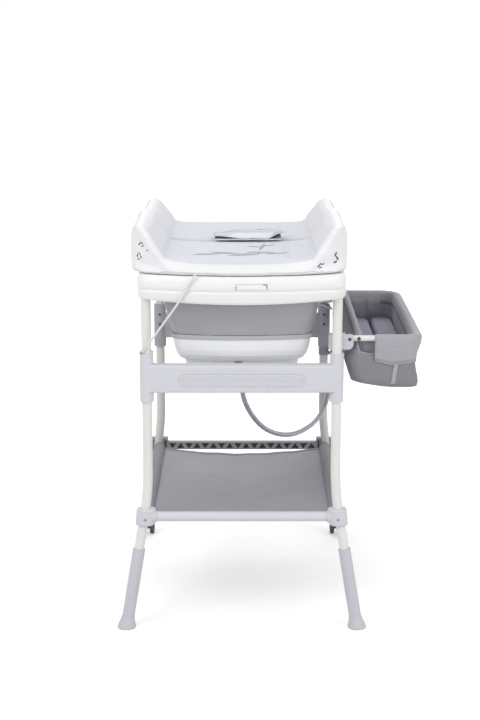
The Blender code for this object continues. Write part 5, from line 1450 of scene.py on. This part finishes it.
def make_net_seams(rows):
    """The bound edge of the outer cloth's mouth by the near and far arms, and the seam round the net."""
    mouth = rows[0]
    ends = {"near": mouth[-14:] + mouth[:16], "far": [p for p in mouth if p.y > 0.27]}
    for label, places in ends.items():
        places = [p for p in places if p.x < X0 + 0.324]
        tops = [max((row[k] for row in rows), key=lambda p: p.z) for k in range(len(mouth))
                if any((mouth[k] - p).length < 1e-7 for p in places)]
        tops.sort(key=lambda p: p.x + 0.01 * p.z)
        tube(f"basket_{label}_mouth_binding", tops, 0.0012, "band_cloth", *ON_BAG, 8)
    line = [a.lerp(b, 0.5) for a, b in zip(rows[6], rows[7])]
    tube("basket_net_seam", evened(line, 160, True), 0.0008, "seam_dark", *ON_BAG, 6, closed=True)


# the straps on the bag's outside, each: name, where it is laid on from, whether on the outer side, lean
WEBBING = (("near", 0.3690, -0.320, False, -0.0075), ("far", 0.3690, 0.320, False, -0.0075),
           ("outer_near", 0.440, -0.170, True, 0.0), ("outer_far", 0.440, 0.170, True, 0.0))
WEBBING_HALF, WEBBING_TOP, WEBBING_DROP, WEBBING_ROWS = 0.0048, 0.6580, 0.0610, 14


def make_webbing(net):
    """Flat straps sewn down the bag's outside, from the band's hem to the lower piping."""
    surface = settled_surface(net)
    made = []
    for label, x, y, outer, lean in WEBBING:
        rows = []
        for k in range(WEBBING_ROWS):
            share = k / (WEBBING_ROWS - 1)
            z = WEBBING_TOP - WEBBING_DROP * share
            for part in (-1.0, -0.8, 0.0, 0.8, 1.0):
                u = WEBBING_HALF * part
                lift = 0.0016 if abs(part) < 0.9 else 0.0009
                place = at(x, y + u, z) if outer else at(x + u + lean * share, y, z)
                rows += laid_on(surface, [place], lift)
        strap = piece(f"basket_{label}_webbing", rows, grid_faces(WEBBING_ROWS, 5), "webbing", *ON_BAG)
        made.append(thicken(strap, 0.0010))
    return made


# the quilted pads on the basket's floor, each: name, left side, right side, top
PADS = (("left", 0.2800, 0.3440, 0.6500), ("right", 0.3500, 0.4075, 0.6520))
PAD_END_Y, PAD_CELL = 0.276, 0.092           # where they end, and how long a quilted cell is
PAD_BOTTOM, PAD_ROOM_Y, PAD_ROOM_X = 0.6082, 0.2785, 0.0010
PAD_VOXEL, PAD_REACH, PAD_FRAMES = 0.0055, 0.0022, 16


def make_inserts():
    for label, x0, x1, top in PADS:
        levels = ((0.6085, 0.004), (0.6100, 0.0015), (0.6180, 0.0), (0.6300, 0.0), (top - 0.012, 0.0),
                  (top - 0.0045, 0.0004), (top - 0.0012, 0.0022))
        rows = []
        for z, inset in levels:
            outline = loop(x0 + inset, x1 - inset, -PAD_END_Y + inset, PAD_END_Y - inset, 0.016 - inset,
                           0.022 - inset, (8, 30), 5)
            rows.append([at(x, y, z) for x, y, _ in outline])
        middle = at((x0 + x1) / 2, 0, 0).x
        for share in (0.86, 0.62, 0.34):
            ends, sides = 0.35 + 0.65 * share, 0.8 + 0.2 * share
            rows.append([Vector((middle + (p.x - middle) * share,
                                 p.y * (ends if abs(p.y) > 0.2 else sides), top)) for p in rows[4]])
        made = piece(f"basket_{label}_pad", *capped(rows), "insert_cloth", "basket", "insert_cloth",
                     replaces=(f"basket_{label}_insert",))

        def held(place):
            if place.z < 0.612:
                return 1.0
            if place.z < top - 0.006:
                return 0.6
            from_seam = 1.0 - abs(((place.y + PAD_END_Y) / PAD_CELL) % 1.0 - 0.5) * 2
            return max(0.25, 1.0 - from_seam * PAD_CELL / 2 / 0.006)

        low_x, high_x = X0 + x0 - PAD_ROOM_X, X0 + x1 + PAD_ROOM_X

        def keep_in(place):
            return Vector((min(max(place.x, low_x), high_x), min(max(place.y, -PAD_ROOM_Y), PAD_ROOM_Y),
                           max(place.z, PAD_BOTTOM)))

        swell(made, PAD_VOXEL, lambda place: PAD_REACH, held, keep_in, PAD_FRAMES)


# ---------------------------------------------------------------- small rigid pieces
GRIP_HALF_X, GRIP_HALF_Z, GRIP_Z = 0.1490, 0.0142, 0.6155
GRIP_SUNK, GRIP_RELIEF, GRIP_PITCH = 0.00148, 0.0013, 0.0085
OUTLET_X, OUTLET_Z = -0.0080, 0.6460
# the outlet's hood from the tub's side outwards: depth, half-sizes
OUTLET_RINGS = ((0.0010, 0.0090, 0.0066), (-0.0030, 0.0090, 0.0066), (-0.0042, 0.0080, 0.0056),
                (-0.0042, 0.0060, 0.0036), (-0.0020, 0.0056, 0.0032))
SCREW_X = 0.2790             # the second screw through each basket arm
# its head from the arm outwards: depth, radius
SCREW_RINGS = ((-0.0006, 0.0044), (0.0012, 0.0044), (0.0020, 0.0036), (0.0020, 0.0020), (0.0010, 0.0018))
WALL_RINGS = 8               # rings that the folding wall is cut into, so that it can shorten evenly
WALL_SHARP = 38              # degrees from which an edge of it is sharp


def make_grips():
    """The diamond-pressed grip in the recess of each end panel."""
    # the rear grip takes the rear panel's grey, which is partly painted shade
    for label, end, finish, slot in (("front", -1, "panel_pale", "pale_grey_plastic"),
                                     ("rear", 1, "panel_dark", "mid_grey_plastic")):
        low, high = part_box(f"{label}_panel")
        face = low.y if end < 0 else high.y
        columns, rows, straight = 181, 22, GRIP_HALF_X - GRIP_HALF_Z
        points = []
        for j in range(rows):
            for k in range(columns):
                u = GRIP_HALF_X * (2 * k / (columns - 1) - 1)
                v = GRIP_HALF_Z * (2 * j / (rows - 1) - 1)
                beyond = abs(u) - GRIP_HALF_X + GRIP_HALF_Z
                square = max(0.0, beyond) ** 2 + v ** 2
                inside = smooth_step(GRIP_HALF_Z - math.sqrt(square), 0.0, 0.0012)
                pattern = sum(abs((way / GRIP_PITCH) % 1.0 - 0.5) for way in (u + v * 1.5, u - v * 1.5))
                height = GRIP_RELIEF * smooth_step(pattern, 0.30, 0.50) * inside
                if abs(u) > straight and square > GRIP_HALF_Z ** 2:
                    turn = math.atan2(v, beyond)
                    u = math.copysign(straight + GRIP_HALF_Z * math.cos(turn), u)
                    v = GRIP_HALF_Z * math.sin(turn)
                points.append(at(u, face - end * (GRIP_SUNK - height), GRIP_Z + v))
        piece(f"{label}_panel_grip", points, grid_faces(rows, columns), finish, "frame", slot)


def met_from_near(node, x, z):
    """Where a line along the table from its near end first meets a node, if it does."""
    found, place, _, _ = NODES[node].ray_cast(at(x, -1.0, z), Vector((0, 1, 0)))
    return place if found else None


def make_outlet():
    """The overflow outlet low on the tub's near side: a small squared hood with a sunk middle."""
    foot = met_from_near("tub_shell", OUTLET_X, OUTLET_Z)
    squared = [(math.copysign(abs(math.cos(a)) ** 0.5, math.cos(a)),
                math.copysign(abs(math.sin(a)) ** 0.5, math.sin(a))) for a in round_angles(24)]
    rings = [[Vector((foot.x + half_w * c, foot.y + depth, foot.z + half_h * s)) for c, s in squared]
             for depth, half_w, half_h in OUTLET_RINGS]
    piece("overflow_outlet", *capped(rings), "outlet_grey", "tub_bottom", "pale_grey_plastic")


def make_latch_gaps():
    """Dark tubes in the gaps at the ends of the press tab, where it can be seen to be a loose piece: painted
    shade in those gaps.
    """
    low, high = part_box("tub_latch")
    left_x, right_x, top = low.x + 0.0006, high.x - 0.0006, high.z - 0.0008
    left = [(left_x, low.z + (high.z - low.z) * k / 6) for k in range(7)]
    right = ([(right_x - 0.0085 * (1 - k / 4), top) for k in range(4)]
             + [(right_x, top - 0.0115 * k / 5) for k in range(6)])
    for label, route, radius in (("left", left, 0.0007), ("right", right, 0.0010)):
        line = []
        for x, z in route:
            met = [met_from_near(node, x - X0, z) for node in ("tub_latch", "tub_rim")]
            met = [place.y for place in met if place is not None]
            if met:
                line.append(Vector((x, min(met) + 0.0003, z)))
        tube(f"latch_{label}_gap", line, radius, "gap_dark", "frame", "white_plastic", 6)


def make_folding_wall():
    """The silicone wall between the rim and the band, copied from its CAD node and cut into level rings; on
    the tub it shortens as the hard bottom is pushed up.
    """
    low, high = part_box("tub_wall")
    work = bmesh.new()
    work.from_mesh(NODES["tub_wall"].data)
    for k in range(1, WALL_RINGS):
        level = low.z + (high.z - low.z) * k / WALL_RINGS
        bmesh.ops.bisect_plane(work, geom=work.verts[:] + work.edges[:] + work.faces[:], dist=1e-6,
                               plane_co=(0, 0, level), plane_no=(0, 0, 1))
    mesh = bpy.data.meshes.new("tub_folding_wall")
    work.to_mesh(mesh)
    work.free()
    made = placed("tub_folding_wall", mesh)
    mesh.materials.clear()
    mesh.materials.append(LIBRARY["silicone_grey"])
    mesh.shade_smooth()
    mesh.set_sharp_from_angle(angle=math.radians(WALL_SHARP))
    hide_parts("tub_wall")
    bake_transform(made)


def make_crease_shade_line():
    """A thin dark tube round the upper edge of the paler band: painted shade for the crease where the folding
    wall meets the band.
    """
    low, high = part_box("tub_band")
    middle = (low + high) / 2
    outer = {}
    for vertex in NODES["tub_band"].data.vertices:
        if vertex.co.z > high.z - 0.0008:
            away = vertex.co - middle
            key = round(math.degrees(math.atan2(away.y, away.x)))
            if key not in outer or away.length > (outer[key] - middle).length:
                outer[key] = vertex.co.copy()
    route = [outer[key] for key in sorted(outer)]
    for place in route:
        place.z = high.z + 0.0002
        place.x += (middle.x - place.x) * 0.004
        place.y += (middle.y - place.y) * 0.004
    tube("tub_wall_crease_shade", evened(route, 200, True), 0.0011, "silicone_dark", "tub_bottom", "silicone", 8,
         closed=True)


def make_studs():
    """The second screw through each basket arm."""
    for label, end in (("near", -1), ("far", 1)):
        centre = at(SCREW_X, end * (ARM_Y + 0.0070), RAIL_HEIGHT)
        rings = [[centre + Vector((radius * math.cos(a), end * out, radius * math.sin(a)))
                  for a in round_angles(20)] for out, radius in SCREW_RINGS]
        piece(f"basket_{label}_arm_screw", *capped(rings), "screw_black", "basket", "black_plastic")


LIBRARY = make_library()
make_camera()
make_cords()
make_studio()
finish_nodes()
make_mat()
make_belt()
make_shelf()
make_basket()
make_grips()
make_outlet()
make_latch_gaps()
make_folding_wall()
make_crease_shade_line()
make_studs()
